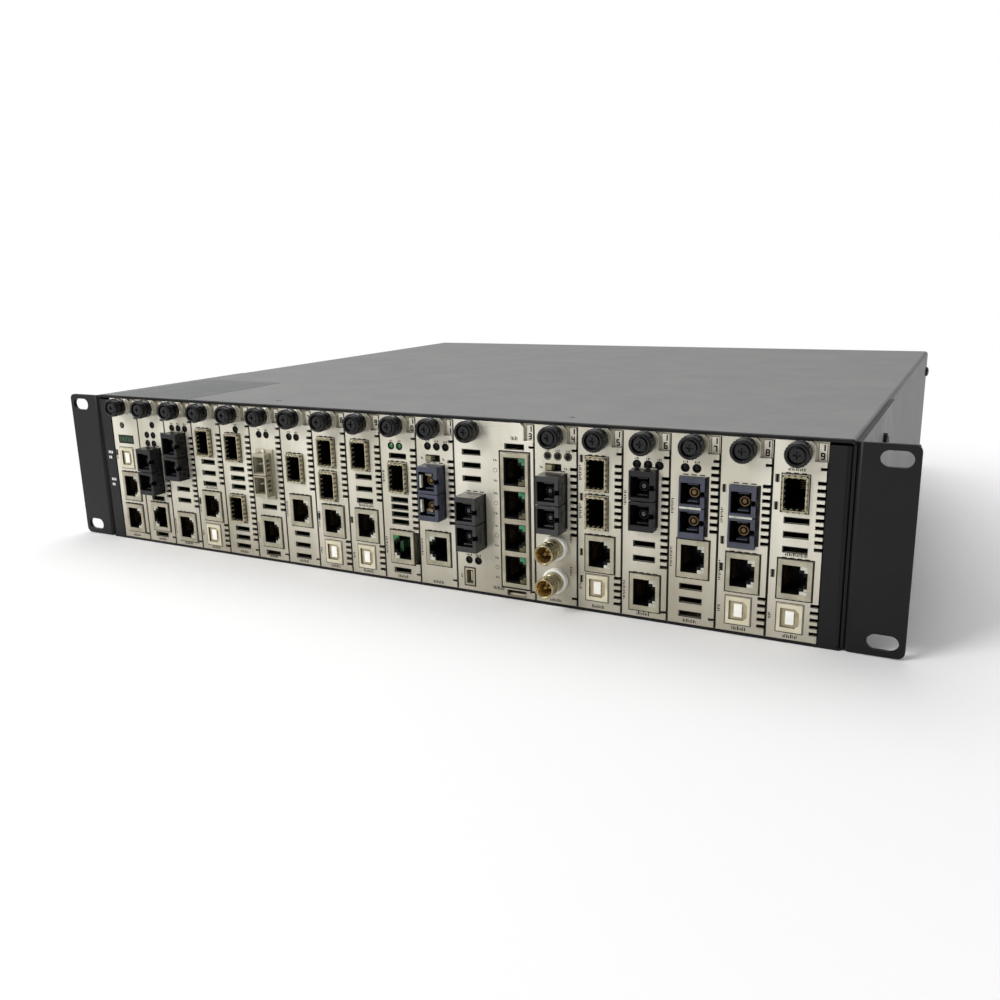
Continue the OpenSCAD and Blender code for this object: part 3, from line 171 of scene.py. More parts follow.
def material(name, dark, light, rough, metallic=0.0, mottle=60, grain=2500, stretch=(1, 1, 1), bump=0.1,
             depth=0.02, vary=0.07, low_tint=None, lip=None, specular=0.5, coat=0.0):
    """A finish with cloudy colour, fine grain in its gloss and its surface, and if asked a darker tint
    low down or a near-black front lip of painted shade. Colours are values of 0 to 255, mottle and
    grain are repeats per metre, depth is in mm, and vary is how far the roughness strays."""
    m = bpy.data.materials.new(name)
    m.use_nodes = True
    light = srgb(*light)
    m.diffuse_color = light
    tree = m.node_tree
    nodes, links = tree.nodes, tree.links
    shader = nodes["Principled BSDF"]
    place = nodes.new("ShaderNodeTexCoord").outputs["Object"]
    stretched = nodes.new("ShaderNodeMapping")
    stretched.inputs["Scale"].default_value = stretch
    links.new(place, stretched.inputs["Vector"])

    def noise(scale, detail, source=stretched.outputs["Vector"]):
        n = nodes.new("ShaderNodeTexNoise")
        n.inputs["Scale"].default_value = scale
        n.inputs["Detail"].default_value = detail
        links.new(source, n.inputs["Vector"])
        return n.outputs["Fac"]

    ramp = nodes.new("ShaderNodeValToRGB")
    for stop, position, color in zip(ramp.color_ramp.elements, STOPS, (srgb(*dark), light)):
        stop.position, stop.color = position, color
    links.new(noise(mottle, 5), ramp.inputs["Fac"])
    clouds = ramp.outputs["Color"]
    # A darker, browner tint towards the foot
    if low_tint:
        share = map_range(tree, axis(tree, place, "Z"), LOW_TINT_FADE, True)
        share = combine(tree, "MULTIPLY", share, noise(mottle / 2, 4, place))
    # The front lip darkened to near black: painted shade along the gap at the cover's front edge
    elif lip:
        share = map_range(tree, axis(tree, place, "Y"), LIP_FADE, True)
    if low_tint or lip:
        mix = nodes.new("ShaderNodeMix")
        mix.data_type = "RGBA"
        links.new(share, mix.inputs["Factor"])
        links.new(clouds, mix.inputs["A"])
        mix.inputs["B"].default_value = srgb(*(low_tint or lip))
        clouds = mix.outputs["Result"]
    links.new(clouds, shader.inputs["Base Color"])
    gloss = map_range(tree, noise(mottle * 3, 3), (*STOPS, rough - vary, rough + vary))
    links.new(gloss, shader.inputs["Roughness"])
    relief = nodes.new("ShaderNodeBump")
    relief.inputs["Strength"].default_value = bump
    relief.inputs["Distance"].default_value = depth * MM
    links.new(noise(grain, 2), relief.inputs["Height"])
    links.new(relief.outputs["Normal"], shader.inputs["Normal"])
    for key, value in (("Metallic", metallic), ("Specular IOR Level", specular), ("Coat Weight", coat)):
        shader.inputs[key].default_value = value
    return m


M = {
    # The cover's front lip is near black: painted shade along the gap at its front edge
    "cover": material("cover_paint", (130, 130, 130), (137, 137, 136), 0.52, mottle=40, grain=1500,
                      bump=0.4, depth=0.06, vary=0.02, lip=(12, 12, 12), specular=0.22),
    "label": material("blank_label", (98, 99, 100), (106, 107, 108), 0.4, mottle=30, vary=0.03,
                      specular=0.25),
    "black_paint": material("black_paint", (8, 8, 9), (14, 14, 15), 0.37, mottle=40, grain=2200,
                            bump=0.35, depth=0.05, vary=0.03, specular=0.25),
    # The plates grow darker and browner towards their foot
    "nickel": material("satin_nickel", (180, 175, 158), (217, 213, 199), 0.34, 0.5, mottle=45,
                       grain=2600, stretch=(1, 1, 0.12), bump=0.12, low_tint=(104, 89, 66)),
    "rail": material("rail_nickel", (150, 144, 124), (184, 178, 158), 0.36, 0.5, mottle=40),
    "tag": material("number_tag", (188, 183, 168), (206, 202, 188), 0.4, mottle=120),
    "bright": material("bright_plating", (206, 202, 190), (228, 225, 216), 0.22, 0.8, mottle=80),
    "shield": material("jack_shield", (142, 136, 117), (176, 170, 150), 0.38, 0.45, mottle=110),
    "cage": material("cage_steel", (168, 158, 128), (204, 196, 168), 0.3, 0.6, mottle=160),
    # Black plastic, also laid as painted shade in hollows and in gaps on the plates
    "inside": material("cage_inside", (7, 7, 7), (16, 15, 14), 0.5, mottle=220, specular=0.12),
    # Dark bronze, also laid as painted shade in gaps
    "bronze_and_shade": material("dark_bronze", (52, 42, 26), (88, 72, 46), 0.45, 0.3, mottle=200),
    "gold": material("gold_contact", (150, 122, 70), (200, 172, 112), 0.3, 0.7, mottle=200),
    "knob": material("knob_black", (5, 5, 6), (12, 12, 14), 0.24, mottle=150, grain=3000,
                     bump=0.15, specular=0.35),
    "black": material("black_plastic", (8, 8, 9), (15, 15, 16), 0.4, mottle=90, specular=0.25),
    "fibre_black": material("receptacle_black", (8, 8, 10), (16, 16, 19), 0.32, mottle=90, specular=0.35),
    # Black plastic lightened to dark grey: painted light on the black receptacles of slots 12 and 14
    "fibre_lit_black": material("receptacle_black_painted_light", (22, 23, 23), (38, 39, 40), 0.36, mottle=90),
    "grey_fibre": material("grey_plastic", (38, 42, 58), (54, 58, 76), 0.42, mottle=90),
    "blue_fibre": material("blue_plastic", (40, 43, 56), (58, 61, 76), 0.4, mottle=90),
    "cream": material("cream_plastic", (184, 177, 150), (208, 202, 178), 0.4, mottle=120),
    # A darker copy of the cream plastic: painted shade for the insides of ports and receptacles
    "cream_shade": material("cream_plastic_inside", (146, 134, 104), (176, 164, 132), 0.45, mottle=200),
    "coax": material("coax_plating", (146, 136, 104), (188, 178, 144), 0.24, 0.85, mottle=120),
    "white": material("white_plastic", (222, 221, 214), (238, 237, 230), 0.35, mottle=120),
    "clear": material("light_pipe", (150, 150, 136), (196, 196, 184), 0.22, mottle=400),
    # Dark lens, also laid as painted shade in the small data port's hole
    "lens": material("dark_lens_and_painted_shade", (4, 5, 4), (9, 11, 9), 0.3, mottle=300, specular=0.15),
    "green_lens": material("green_lens", (18, 78, 38), (40, 116, 64), 0.25, mottle=300),
    "dim_green": material("dim_green_lens", (8, 34, 16), (20, 74, 36), 0.25, mottle=500),
    "amber_lens": material("amber_lens", (44, 44, 22), (84, 80, 42), 0.25, mottle=400),
    "window_green": material("window_green", (22, 78, 48), (52, 134, 88), 0.25, mottle=400),
    # Dark print, also laid as painted shade round cut-outs and the hole
    "ink_and_shade": material("print_ink_and_painted_shade", (24, 22, 20), (42, 39, 35), 0.6, mottle=300, specular=0.2),
    "light_ink": material("light_ink", (196, 196, 194), (222, 222, 220), 0.6, mottle=300),
    "board": material("board_green", (8, 42, 22), (16, 62, 33), 0.35, mottle=260, grain=1500,
                      bump=0.3, depth=0.04, coat=0.3),
    "chip": material("chip_black", (18, 18, 19), (30, 30, 31), 0.55, mottle=300),
    "module": material("module_grey", (46, 47, 50), (62, 63, 66), 0.5, mottle=160),
    "can": material("can_aluminium", (176, 178, 180), (206, 208, 210), 0.3, 0.8, mottle=160),
    "sleeve": material("can_sleeve", (28, 30, 44), (40, 42, 60), 0.35, mottle=160),
    "brass": material("brass", (178, 152, 94), (216, 192, 134), 0.28, 0.8, mottle=120),
    # Dark bronze of the ferrules, also laid on the jacks' gold contacts as painted shade
    "ferrule_and_shade": material("ferrule_bronze_and_painted_shade", (76, 60, 36), (108, 86, 54), 0.38, 0.3, mottle=250),
    "screw": material("screw_black", (18, 18, 19), (30, 30, 32), 0.3, 0.4, mottle=200),
    "steel": material("supply_steel", (150, 150, 148), (170, 170, 168), 0.36, 0.7, mottle=30,
                      grain=2600, stretch=(0.12, 1, 1)),
    "slider": material("slider_plastic", (112, 110, 84), (142, 138, 108), 0.4, mottle=200),
    "guide": material("guide_black", (20, 20, 21), (32, 32, 33), 0.5, mottle=60),
}


# Meshes

def rect(w, h, x=0.0, z=0.0):
    return [(x - w / 2, z - h / 2), (x + w / 2, z - h / 2), (x + w / 2, z + h / 2), (x - w / 2, z + h / 2)]


def ring(r, n=32, x=0.0, z=0.0):
    return [(x + r * math.cos(math.tau * k / n), z + r * math.sin(math.tau * k / n)) for k in range(n)]


def shifted(line, x=0.0, z=0.0, grow=0.0):
    """An outline moved by (x, z), its points pushed out by grow along each axis."""
    return [(px + x + math.copysign(grow, px), pz + z + math.copysign(grow, pz)) for px, pz in line]


def spread(count, pitch):
    """Places at an even pitch about zero."""
    return [(k - (count - 1) / 2) * pitch for k in range(count)]


def mirrored(side, a, b):
    """The range from a to b, or its mirror image where side is -1."""
    return sorted((side * a, side * b))


class Solids:
    """Closed solids with their finishes, gathered into one piece. Lengths are in mm, measured from a
    place on the front plane, and flip mirrors them from left to right."""

    def __init__(self, x=0.0, z=0.0, flip=False):
        self.bm, self.mats = bmesh.new(), []
        self.place = Matrix.Translation((x, 0, z)) @ Matrix.Diagonal((-1 if flip else 1, 1, 1, 1))

    def index(self, mat):
        if mat not in self.mats:
            self.mats.append(mat)
        return self.mats.index(mat)

    def add(self, points, faces, mat, turn=None):
        m = self.place @ turn if turn else self.place
        verts = [self.bm.verts.new(m @ Vector(p)) for p in points]
        k = self.index(mat)
        for f in faces:
            self.bm.faces.new([verts[i] for i in f]).material_index = k

    def prism(self, outline, y, mat, holes=()):
        """An outline in X and Z pushed from y[0] to y[1]. Each hole is an outline and the y of its
        floor, which is None where it goes through."""
        points, faces = [], []

        def loop(line, at):
            points.extend((px, at, pz) for px, pz in line)
            return list(range(len(points) - len(line), len(points)))

        def walls(a, b):
            for i in range(len(a)):
                j = (i + 1) % len(a)
                faces.append([a[i], a[j], b[j], b[i]])

        def cap(outer, inner):
            if not inner:
                faces.append(outer)
                return
            flat = [i for group in [outer] + inner for i in group]
            lines = [[Vector((points[i][0], points[i][2], 0)) for i in group] for group in [outer] + inner]
            faces.extend([flat[i] for i in tri] for tri in tessellate_polygon(lines))

        front, back = loop(outline, y[0]), loop(outline, y[1])
        walls(front, back)
        inner_front, inner_back = [], []
        for line, floor in holes:
            a, b = loop(line, y[0]), loop(line, y[1] if floor is None else floor)
            walls(a, b)
            inner_front.append(a)
            if floor is None:
                inner_back.append(b)
            else:
                faces.append(b)
        cap(front, inner_front)
        cap(back, inner_back)
        self.add(points, faces, mat)

    def lathe(self, profile, mat, n=32, x=0.0, z=0.0, turn=None):
        """A closed solid of revolution about Y from (radius, y) pairs; a radius of zero is a pole."""
        points, faces, rows = [], [], []
        for r, at in profile:
            if r == 0:
                points.append((x, at, z))
                rows.append([len(points) - 1] * n)
            else:
                points.extend((px, at, pz) for px, pz in ring(r, n, x, z))
                rows.append(list(range(len(points) - n, len(points))))
        closed = profile[0][0] > 0
        for k in range(len(rows) if closed else len(rows) - 1):
            a, b = rows[k], rows[(k + 1) % len(rows)]
            for i in range(n):
                j = (i + 1) % n
                face = list(dict.fromkeys((a[i], a[j], b[j], b[i])))
                if len(face) > 2:
                    faces.append(face)
        self.add(points, faces, mat, turn)

    def rod(self, p, q, w, h, mat):
        """A square bar between two points."""
        p, q = Vector(p), Vector(q)
        along = (q - p).normalized()
        side = along.cross(Vector((0, 0, 1)))
        side = side.normalized() if side.length > 0.01 else Vector((1, 0, 0))
        up = side.cross(along)
        corners = [side * cx + up * cz for cx, cz in rect(w, h)]
        points = [p + c for c in corners] + [q + c for c in corners]
        sides = [(0, 4, 5, 1), (1, 5, 6, 2), (2, 6, 7, 3), (3, 7, 4, 0)]
        self.add(points, [(0, 1, 2, 3), (7, 6, 5, 4), *sides], mat)

    def box(self, x, y, z, mat):
        self.prism([(x[0], z[0]), (x[1], z[0]), (x[1], z[1]), (x[0], z[1])], y, mat)

    def take(self, island, mat):
        """A solid of the CAD node, as it is."""
        points, faces = island
        verts = [self.bm.verts.new(p) for p in points]
        k = self.index(mat)
        made = [self.bm.faces.new([verts[i] for i in f]) for f in faces]
        for f in made:
            f.material_index = k
        bmesh.ops.dissolve_limit(self.bm, angle_limit=math.radians(0.5), verts=verts,
                                 edges=list({e for f in made for e in f.edges}))

    def piece(self, name, body, slot, bevel=0.12, segments=2):
        """Makes the piece, which rides on body, with its edges rounded by bevel mm."""
        bmesh.ops.recalc_face_normals(self.bm, faces=self.bm.faces)
        self.bm.transform(Matrix.Scale(MM, 4))
        me = bpy.data.meshes.new(name)
        self.bm.to_mesh(me)
        self.bm.free()
        for m in self.mats:
            me.materials.append(M[m])
        me.shade_smooth()
        me.set_sharp_from_angle(angle=math.radians(SHARP))
        o = bpy.data.objects.new(name, me)
        bpy.context.scene.collection.objects.link(o)
        if bevel:
            edge(o, bevel, segments)
        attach(o, body)
        return o


def edge(o, bevel, segments=2):
    """Rounds the sharp edges by bevel mm."""
    m = o.modifiers.new("edge", "BEVEL")
    m.width, m.segments, m.limit_method = bevel * MM, segments, "ANGLE"
    m.angle_limit, m.harden_normals, m.use_clamp_overlap = math.radians(SHARP), True, True


def islands(node):
    """The solids of a CAD node as (points in mm, faces), with the box of each."""
    bm = bmesh.new()
    bm.from_mesh(NODES[node].data)
    bmesh.ops.remove_doubles(bm, verts=bm.verts, dist=1e-6)
    bm.verts.index_update()
    seen, out = set(), []
    for start in bm.verts:
        if start.index in seen:
            continue
        seen.add(start.index)
        group, queue = [], [start]
        while queue:
            v = queue.pop()
            group.append(v)
            for e in v.link_edges:
                other = e.other_vert(v)
                if other.index not in seen:
                    seen.add(other.index)
                    queue.append(other)
        place = {v.index: k for k, v in enumerate(group)}
        faces = {f for v in group for f in v.link_faces}
        points = [v.co / MM for v in group]
        low = Vector([min(p[a] for p in points) for a in range(3)])
        high = Vector([max(p[a] for p in points) for a in range(3)])
        lists = [[place[v.index] for v in f.verts] for f in sorted(faces, key=lambda f: f.index)]
        out.append(((points, lists), low, high))
    bm.free()
    return out


# Sockets

JACK_HOLE = [(-5.1, -6.1), (1.7, -6.1), (1.7, -3.2), (3.4, -3.2), (3.4, -1.8), (4.9, -1.8),
             (4.9, 1.8), (3.4, 1.8), (3.4, 3.2), (1.7, 3.2), (1.7, 6.1), (-5.1, 6.1)]
JACK_FRONT = [(-5.3, -6.3), (5.2, -6.3), (5.2, 6.3), (-5.3, 6.3)]
GANG_FRONT = [(-5.6, -6.9), (5.7, -6.9), (5.7, 6.9), (-5.6, 6.9)]
# Width and height of a jack, of the room in it and of its insulator, and where its lip and shell lie
JACK, JACK_ROOM, JACK_CORE = (14, 17.2), (13.0, 15.4), (12.8, 15.2)
JACK_LIP, JACK_SHELL = (-0.8, -0.3), (-0.3, 21)
GANG, GANG_PORTS, GANG_PITCH = (14.6, 66.5), 4, 16.25
# The bend of a jack's contact, in X and Y, and the wire's width and height
CONTACT_BEND, WIRE = ((-4.9, 3.2), (-3.3, 9.0), (-4.9, 12.2)), (0.26, 0.34)
# Width and height of a transceiver cage, of its room, its lining and its collar, and its depth
CAGE, CAGE_ROOM, CAGE_LINING, CAGE_COLLAR = (9.5, 14.5), (8.9, 13.9), (8.86, 13.86), (10.1, 15.1)
CAGE_D = 46
# Half the size of a fibre receptacle, the distance of its openings from its middle, its ferrules' X,
# and how deep its front part is
FIBRE_HALF_W, FIBRE_HALF_H, FIBRE_STEP, FERRULE_X, FIBRE_FRONT = 5.75, 13.75, 6.4, 0.4, 12.2
# The openings of the metal receptacle, the X of their middle and their distance from its middle
METAL_HOLE, METAL_X, METAL_STEP = (7.2, 9.2), -0.2, 5.7


def jack_inside(s, z, lights):
    """A jack's insulator, contacts and light pipes at height z."""
    s.prism(rect(*JACK_CORE, 0, z), (-0.2, 20.5), "inside", [(shifted(JACK_HOLE, 0, z), 13.0)])
    # The gold contacts in dark bronze: painted shade of the jack's cavity
    for at in spread(8, 1.02):
        for p, q in zip(CONTACT_BEND, CONTACT_BEND[1:]):
            s.rod((*p, z + at), (*q, z + at), *WIRE, "ferrule_and_shade")
    for side, finish in zip((1, -1), lights):
        for left, front, near, far in ((2.1, -0.5, 4.7, 6.5), (3.8, -0.42, 3.5, 4.6)):
            s.box((left, 5.4), (front, 3.0), sorted((z + side * near, z + side * far)), finish)


def jack(n, name, x, z, kind):
    """A network jack with its shield; jack_left is mirrored from left to right."""
    s = Solids(x, z, flip=kind == "jack_left")
    s.prism(rect(*JACK), JACK_LIP, "shield", [(JACK_FRONT, None)])
    s.prism(rect(*JACK), JACK_SHELL, "shield", [(rect(*JACK_ROOM), None)])
    for side in (-1, 1):
        for at in spread(4, 2.8):
            s.box((at - 0.8, at + 0.8), (-0.92, 0.5), mirrored(side, 8.0, 8.66), "shield")
    green = n in GREEN_SLOTS
    jack_inside(s, 0, ("green_lens" if green else "clear", "clear"))
    if green:
        # The coloured lining of its cavity
        s.box((1.2, 3.3), (2.4, 12.9), (-3.1, 3.1), "dim_green")
        s.box((-2.2, 1.2), (6.4, 12.9), (-1.6, 4.4), "dim_green")
    s.piece(name, f"slot_{n:02d}_card", "rail_metal")


def gang(n, name, x, z):
    """A block of network jacks, one over the other."""
    s = Solids(x, z)
    places = spread(GANG_PORTS, GANG_PITCH)
    s.prism(rect(*GANG), JACK_LIP, "shield", [(shifted(GANG_FRONT, 0, p), None) for p in places])
    s.prism(rect(*GANG), JACK_SHELL, "shield", [(rect(*JACK_ROOM, 0, p), None) for p in places])
    for p in places:
        jack_inside(s, p, ("window_green", "amber_lens"))
    s.piece(name, f"slot_{n:02d}_card", "rail_metal")


def cage(n, name, x, z):
    """A transceiver cage with its spring collar and the connector at its rear end."""
    s = Solids(x, z)
    s.prism(rect(*CAGE), (-2.3, CAGE_D), "cage", [(rect(*CAGE_ROOM), None)])
    # A black lining through the cage: painted shade of its hollow
    s.prism(rect(*CAGE_LINING), (-1.4, CAGE_D), "inside", [(rect(8.5, 13.5), CAGE_D - 3)])
    s.prism(rect(*CAGE_COLLAR), (-2.2, -0.1), "bronze_and_shade", [(rect(9.52, 14.52), None)])
    # Spring fingers round the collar and in the mouth: along its sides, then over and under it
    for side in (-1, 1):
        for at in spread(6, 2.42):
            s.rod((side * 4.95, -2.34, at), (side * 5.19, -0.1, at), 0.22, 1.72, "cage")
            s.rod((side * 4.18, -1.7, at), (side * 4.02, 0.1, at), 0.12, 0.8, "cage")
        for at in spread(4, 2.35):
            s.box((at - 0.82, at + 0.82), (-2.4, -0.1), mirrored(side, 7.42, 7.74), "cage")
            s.box((at - 0.4, at + 0.4), (-1.7, 0.2), mirrored(side, 6.46, 6.62), "cage")
    s.box((-4.0, 4.0), (31, 42.8), (-5.6, 5.6), "black")
    for k in range(10):
        s.box((-3.2, 1.8), (29.8, 31.2), (k - 4.7, k - 4.2), "gold")
    s.piece(name, f"slot_{n:02d}_card", "rail_metal", 0.08)


def fibre(n, name, x, z, reach):
    """A duplex fibre receptacle that stands out by reach, its two openings keyed at their right."""
    look = FIBRE_LOOKS.get(n, "fibre_black")
    bronze = look in ("blue_fibre", "grey_fibre")
    s = Solids(x, z)
    front = -reach
    back = front + FIBRE_FRONT
    s.prism(rect(10.9, 26.9), (back, front + 30), look)
    for side in (-1, 1):
        c = side * FIBRE_STEP
        key = [(-4.9, c - 4.7), (3.8, c - 4.7), (3.8, c - 1.2), (4.7, c - 1.2), (4.7, c + 1.2),
               (3.8, c + 1.2), (3.8, c + 4.7), (-4.9, c + 4.7)]
        w, low, high = FIBRE_HALF_W, 0.2 * side, FIBRE_HALF_H * side
        # Its front layer is open at the key, and a ledge runs round behind it
        open_key = [(w, c - 1.2), (3.8, c - 1.2), (3.8, c - 4.7), (-4.9, c - 4.7), (-4.9, c + 4.7),
                    (3.8, c + 4.7), (3.8, c + 1.2), (w, c + 1.2)]
        corners = [(w, high), (-w, high), (-w, low), (w, low)]
        s.prism(open_key + (corners if side > 0 else corners[2:][::-1] + corners[:2][::-1]),
                (front, front + 3.2), look)
        s.prism([(-w, low), (w, low), (w, high), (-w, high)], (front + 3.2, back + 0.1), look,
                [(key, back - 0.1)])
        # A black liner in each opening: painted shade of its hollow
        s.prism(rect(8.66, 9.36, -0.55, c), (front + 0.6, back), "inside",
                [(rect(8.3, 9.0, -0.55, c), back - 0.3)])
        # The sleeve and its ferrule
        s.lathe([(2.25, front + 3.4), (2.25, back - 0.2), (1.75, back - 0.2), (1.75, front + 3.4)],
                "ferrule_and_shade" if bronze else "inside", 24, FERRULE_X, c)
        s.lathe([(0, front + 3.2), (0.9, front + 3.2), (1.25, front + 3.8), (1.25, back - 0.2),
                 (0, back - 0.2)], "ferrule_and_shade" if bronze else "module", 24, FERRULE_X, c)
        for ledge in (-4.1, 3.5):
            s.box((-2.3, 2.5), (front + 2.2, back - 0.3), (c + ledge, c + ledge + 0.6), look)
        # Latch ribs along the sides
        for flank in (-1, 1):
            s.box(mirrored(flank, 5.7, 5.98), (front + 4.4, front + 7.4), (c - 3.4, c + 3.4), look)
    if look == "blue_fibre":
        s.box((-5.3, 4.4), (front - 0.1, front + 2), (-0.5, 0.5), "clear")
    if look == "grey_fibre":
        for side in (-1, 1):
            s.box((-4.6, -3.5), (front + 0.3, front + 2.0), mirrored(side, 3.0, 9.4), "clear")
            s.box((-3.4, 0.4), (front + 4.0, front + 9), mirrored(side, 8.4, 10.4), "cream_shade")
    s.piece(name, f"slot_{n:02d}_card", "switch_plastic", 0.22)


def metal_fibre(n, name, x, z):
    """The small duplex receptacle of metal."""
    s = Solids(x, z)
    s.prism(rect(9, 24), (-5.8, 30), "shield",
            [(rect(*METAL_HOLE, METAL_X, side * METAL_STEP), 5.7) for side in (1, -1)])
    s.prism(rect(12, 28), (-1, -0.1), "rail", [(rect(9.1, 24.1), None)])
    for side in (-1, 1):
        c = side * METAL_STEP
        s.prism(rect(7.16, 9.16, METAL_X, c), (-4.6, 5.6), "rail", [(rect(6.7, 8.7, METAL_X, c), 2.6)])
        s.prism(rect(2.6, 4.2, 1.9, c - 2.0), (-3.4, 2.7), "bronze_and_shade")
        s.lathe([(0, -1.9), (1.0, -1.75), (1.25, -1.0), (0, -1.0)], "bright", 16, 0, side * 13.0)
        for at in spread(2, 2.7):
            s.lathe([(0, -1.6), (0.45, -1.6), (0.63, -1.2), (0.63, 5.3), (0, 5.3)], "white", 16,
                    at - 1.6, c)
        # Dark dashes down its right side: painted shade of the gap in the plate's cut-out
        for k in range(3):
            s.box((4.4, 4.72), (-4.6, -2.0), (c - 3.4 + k * 2.6, c - 2.0 + k * 2.6), "bronze_and_shade")
    s.box((-4.55, 4.55), (-5.86, -1.5), (-0.35, 0.35), "bronze_and_shade")
    s.piece(name, f"slot_{n:02d}_card", "rail_metal", 0.15)


def port(n, name, x, z):
    """A square data port with its tongue."""
    s = Solids(x, z)
    hole = [(-3.9, -4.3), (2.3, -4.3), (3.9, -2.7), (3.9, 2.7), (2.3, 4.3), (-3.9, 4.3)]
    shell = shifted(hole, grow=-0.34)
    s.prism(rect(10.5, 12.3), (-0.5, 16), "cream", [(hole, 9.0)])
    # The ring and floor of the opening in the darker cream: painted shade
    s.prism(hole, (-0.4, 8.9), "cream_shade", [(shell, 8.6)])
    s.prism(shell, (0.5, 8.8), "cream_shade")
    s.prism(rect(3.6, 6.0), (-0.1, 9), "white")
    for side in (-1, 1):
        for k in (-1, 1):
            s.box(mirrored(side, 1.75, 1.95), (0.1, 8.6), mirrored(k, 0.5, 1.7), "gold")
    s.piece(name, f"slot_{n:02d}_card", "switch_plastic", 0.15)


def mini(n, name, x, z):
    """The small data port."""
    s = Solids(x, z)
    hole = [(-1.85, -3.0), (-1.3, -3.55), (1.85, -3.55), (1.85, 3.55), (-1.3, 3.55), (-1.85, 3.0)]
    s.prism(rect(5.3, 8.7), (-0.3, 9), "shield", [(hole, None)])
    # A black liner in the hole: painted shade of its hollow
    s.prism(shifted(hole, grow=-0.03), (-0.1, 9), "lens", [(shifted(hole, grow=-0.45), 8.2)])
    s.box((0.0, 0.9), (0.9, 8.3), (-2.4, 2.6), "cream_shade")
    for k in range(5):
        s.box((-0.2, 0.02), (1.2, 8.0), (k * 0.9 - 2.0, k * 0.9 - 1.6), "gold")
    s.piece(name, f"slot_{n:02d}_card", "rail_metal", 0.1)


def coax(n, name, x, z):
    """A coaxial jack: washer, nut, barrel with two bayonet lugs, and centre contact."""
    s = Solids(x, z)
    s.lathe([(5.0, -0.9), (6.0, -0.9), (6.0, -0.1), (5.0, -0.1)], "white", 48)
    s.lathe([(4.85, -3.2), (5.7, -3.2), (6.1, -2.8), (6.1, -1.1), (4.85, -1.1)], "white", 48)
    s.lathe([(4.8, -12.6), (4.8, -9.0), (4.5, -8.8), (4.5, -8.0), (4.8, -7.8), (4.8, 12), (4.0, 12),
             (4.0, -14.5), (4.2, -14.7), (4.6, -14.7), (4.8, -14.4)], "coax", 48)
    s.lathe([(4.0, -14.3), (4.0, -1.0), (3.75, -1.0), (3.75, -14.1)], "brass", 40)
    s.lathe([(0, -1.2), (3.9, -1.2), (3.9, -0.8), (0, -0.8)], "brass", 32)
    s.lathe([(0.8, -8.0), (1.9, -8.0), (2.4, -7.2), (2.4, -1.0), (0.8, -1.0)], "brass", 32)
    s.lathe([(0.35, -12.9), (0.6, -12.9), (0.7, -12.5), (0.7, -1.0), (0, -1.0), (0, -8), (0.35, -8)],
            "gold", 20)
    for side in (-1, 1):
        turn = Matrix.Translation((0, -12, 0)) @ Matrix.Rotation(-side * math.pi / 2, 4, "X")
        s.lathe([(0, 4.2), (0.9, 4.2), (0.9, 5.5), (0.7, 5.7), (0, 5.7)], "coax", 20, turn=turn)
    s.piece(name, f"slot_{n:02d}_card", "stud_brass", 0.1)


def small_parts(n, faces):
    """The lamps, the lamp bar and the slide switch bodies of a card, as one piece."""
    s = Solids()
    for kind, x, z, _ in faces:
        if kind == "lamp":
            finish = "green_lens" if n in GREEN_SLOTS else "lens"
            s.lathe([(0, 0.1), (0.7, 0.16), (1.2, 0.34), (1.42, 0.6), (1.42, 5), (0, 5)], finish, 24, x, z)
            s.lathe([(1.42, -0.12), (1.58, -0.12), (1.58, 1.2), (1.42, 1.2)],
                    "shield" if n == 14 else "inside", 24, x, z)
        if kind == "mark":
            s.box((x - 0.78, x + 0.78), (0.02, 2.3), (z - 1.58, z + 1.58), "shield")
            s.box((x - 0.55, x + 0.55), (-0.06, 1.5), (z - 1.75, z + 1.75), "lens")
        if kind == "bar":
            s.box((x - 6.25, x + 6.25), (0, 4), (z - 2.5, z + 2.5), "black")
            for k in range(5):
                s.box((x - 5.5 + k * 2.3, x - 3.8 + k * 2.3), (-0.1, 1), (z - 1.5, z + 1.5), "dim_green")
        if kind == "switch":
            s.prism(rect(9.6, 5.0, x, z), (1.6, 7.5), "black", [(rect(8, 3.4, x, z), 3.4)])
    if s.mats:
        s.piece(f"slot_{n:02d}_lamps", f"slot_{n:02d}_card", "switch_plastic", 0.08)


# The front and back face, in Y, of the print and of the painted shade on the plates
PRINT_AND_SHADE = (-0.03, 0.02)


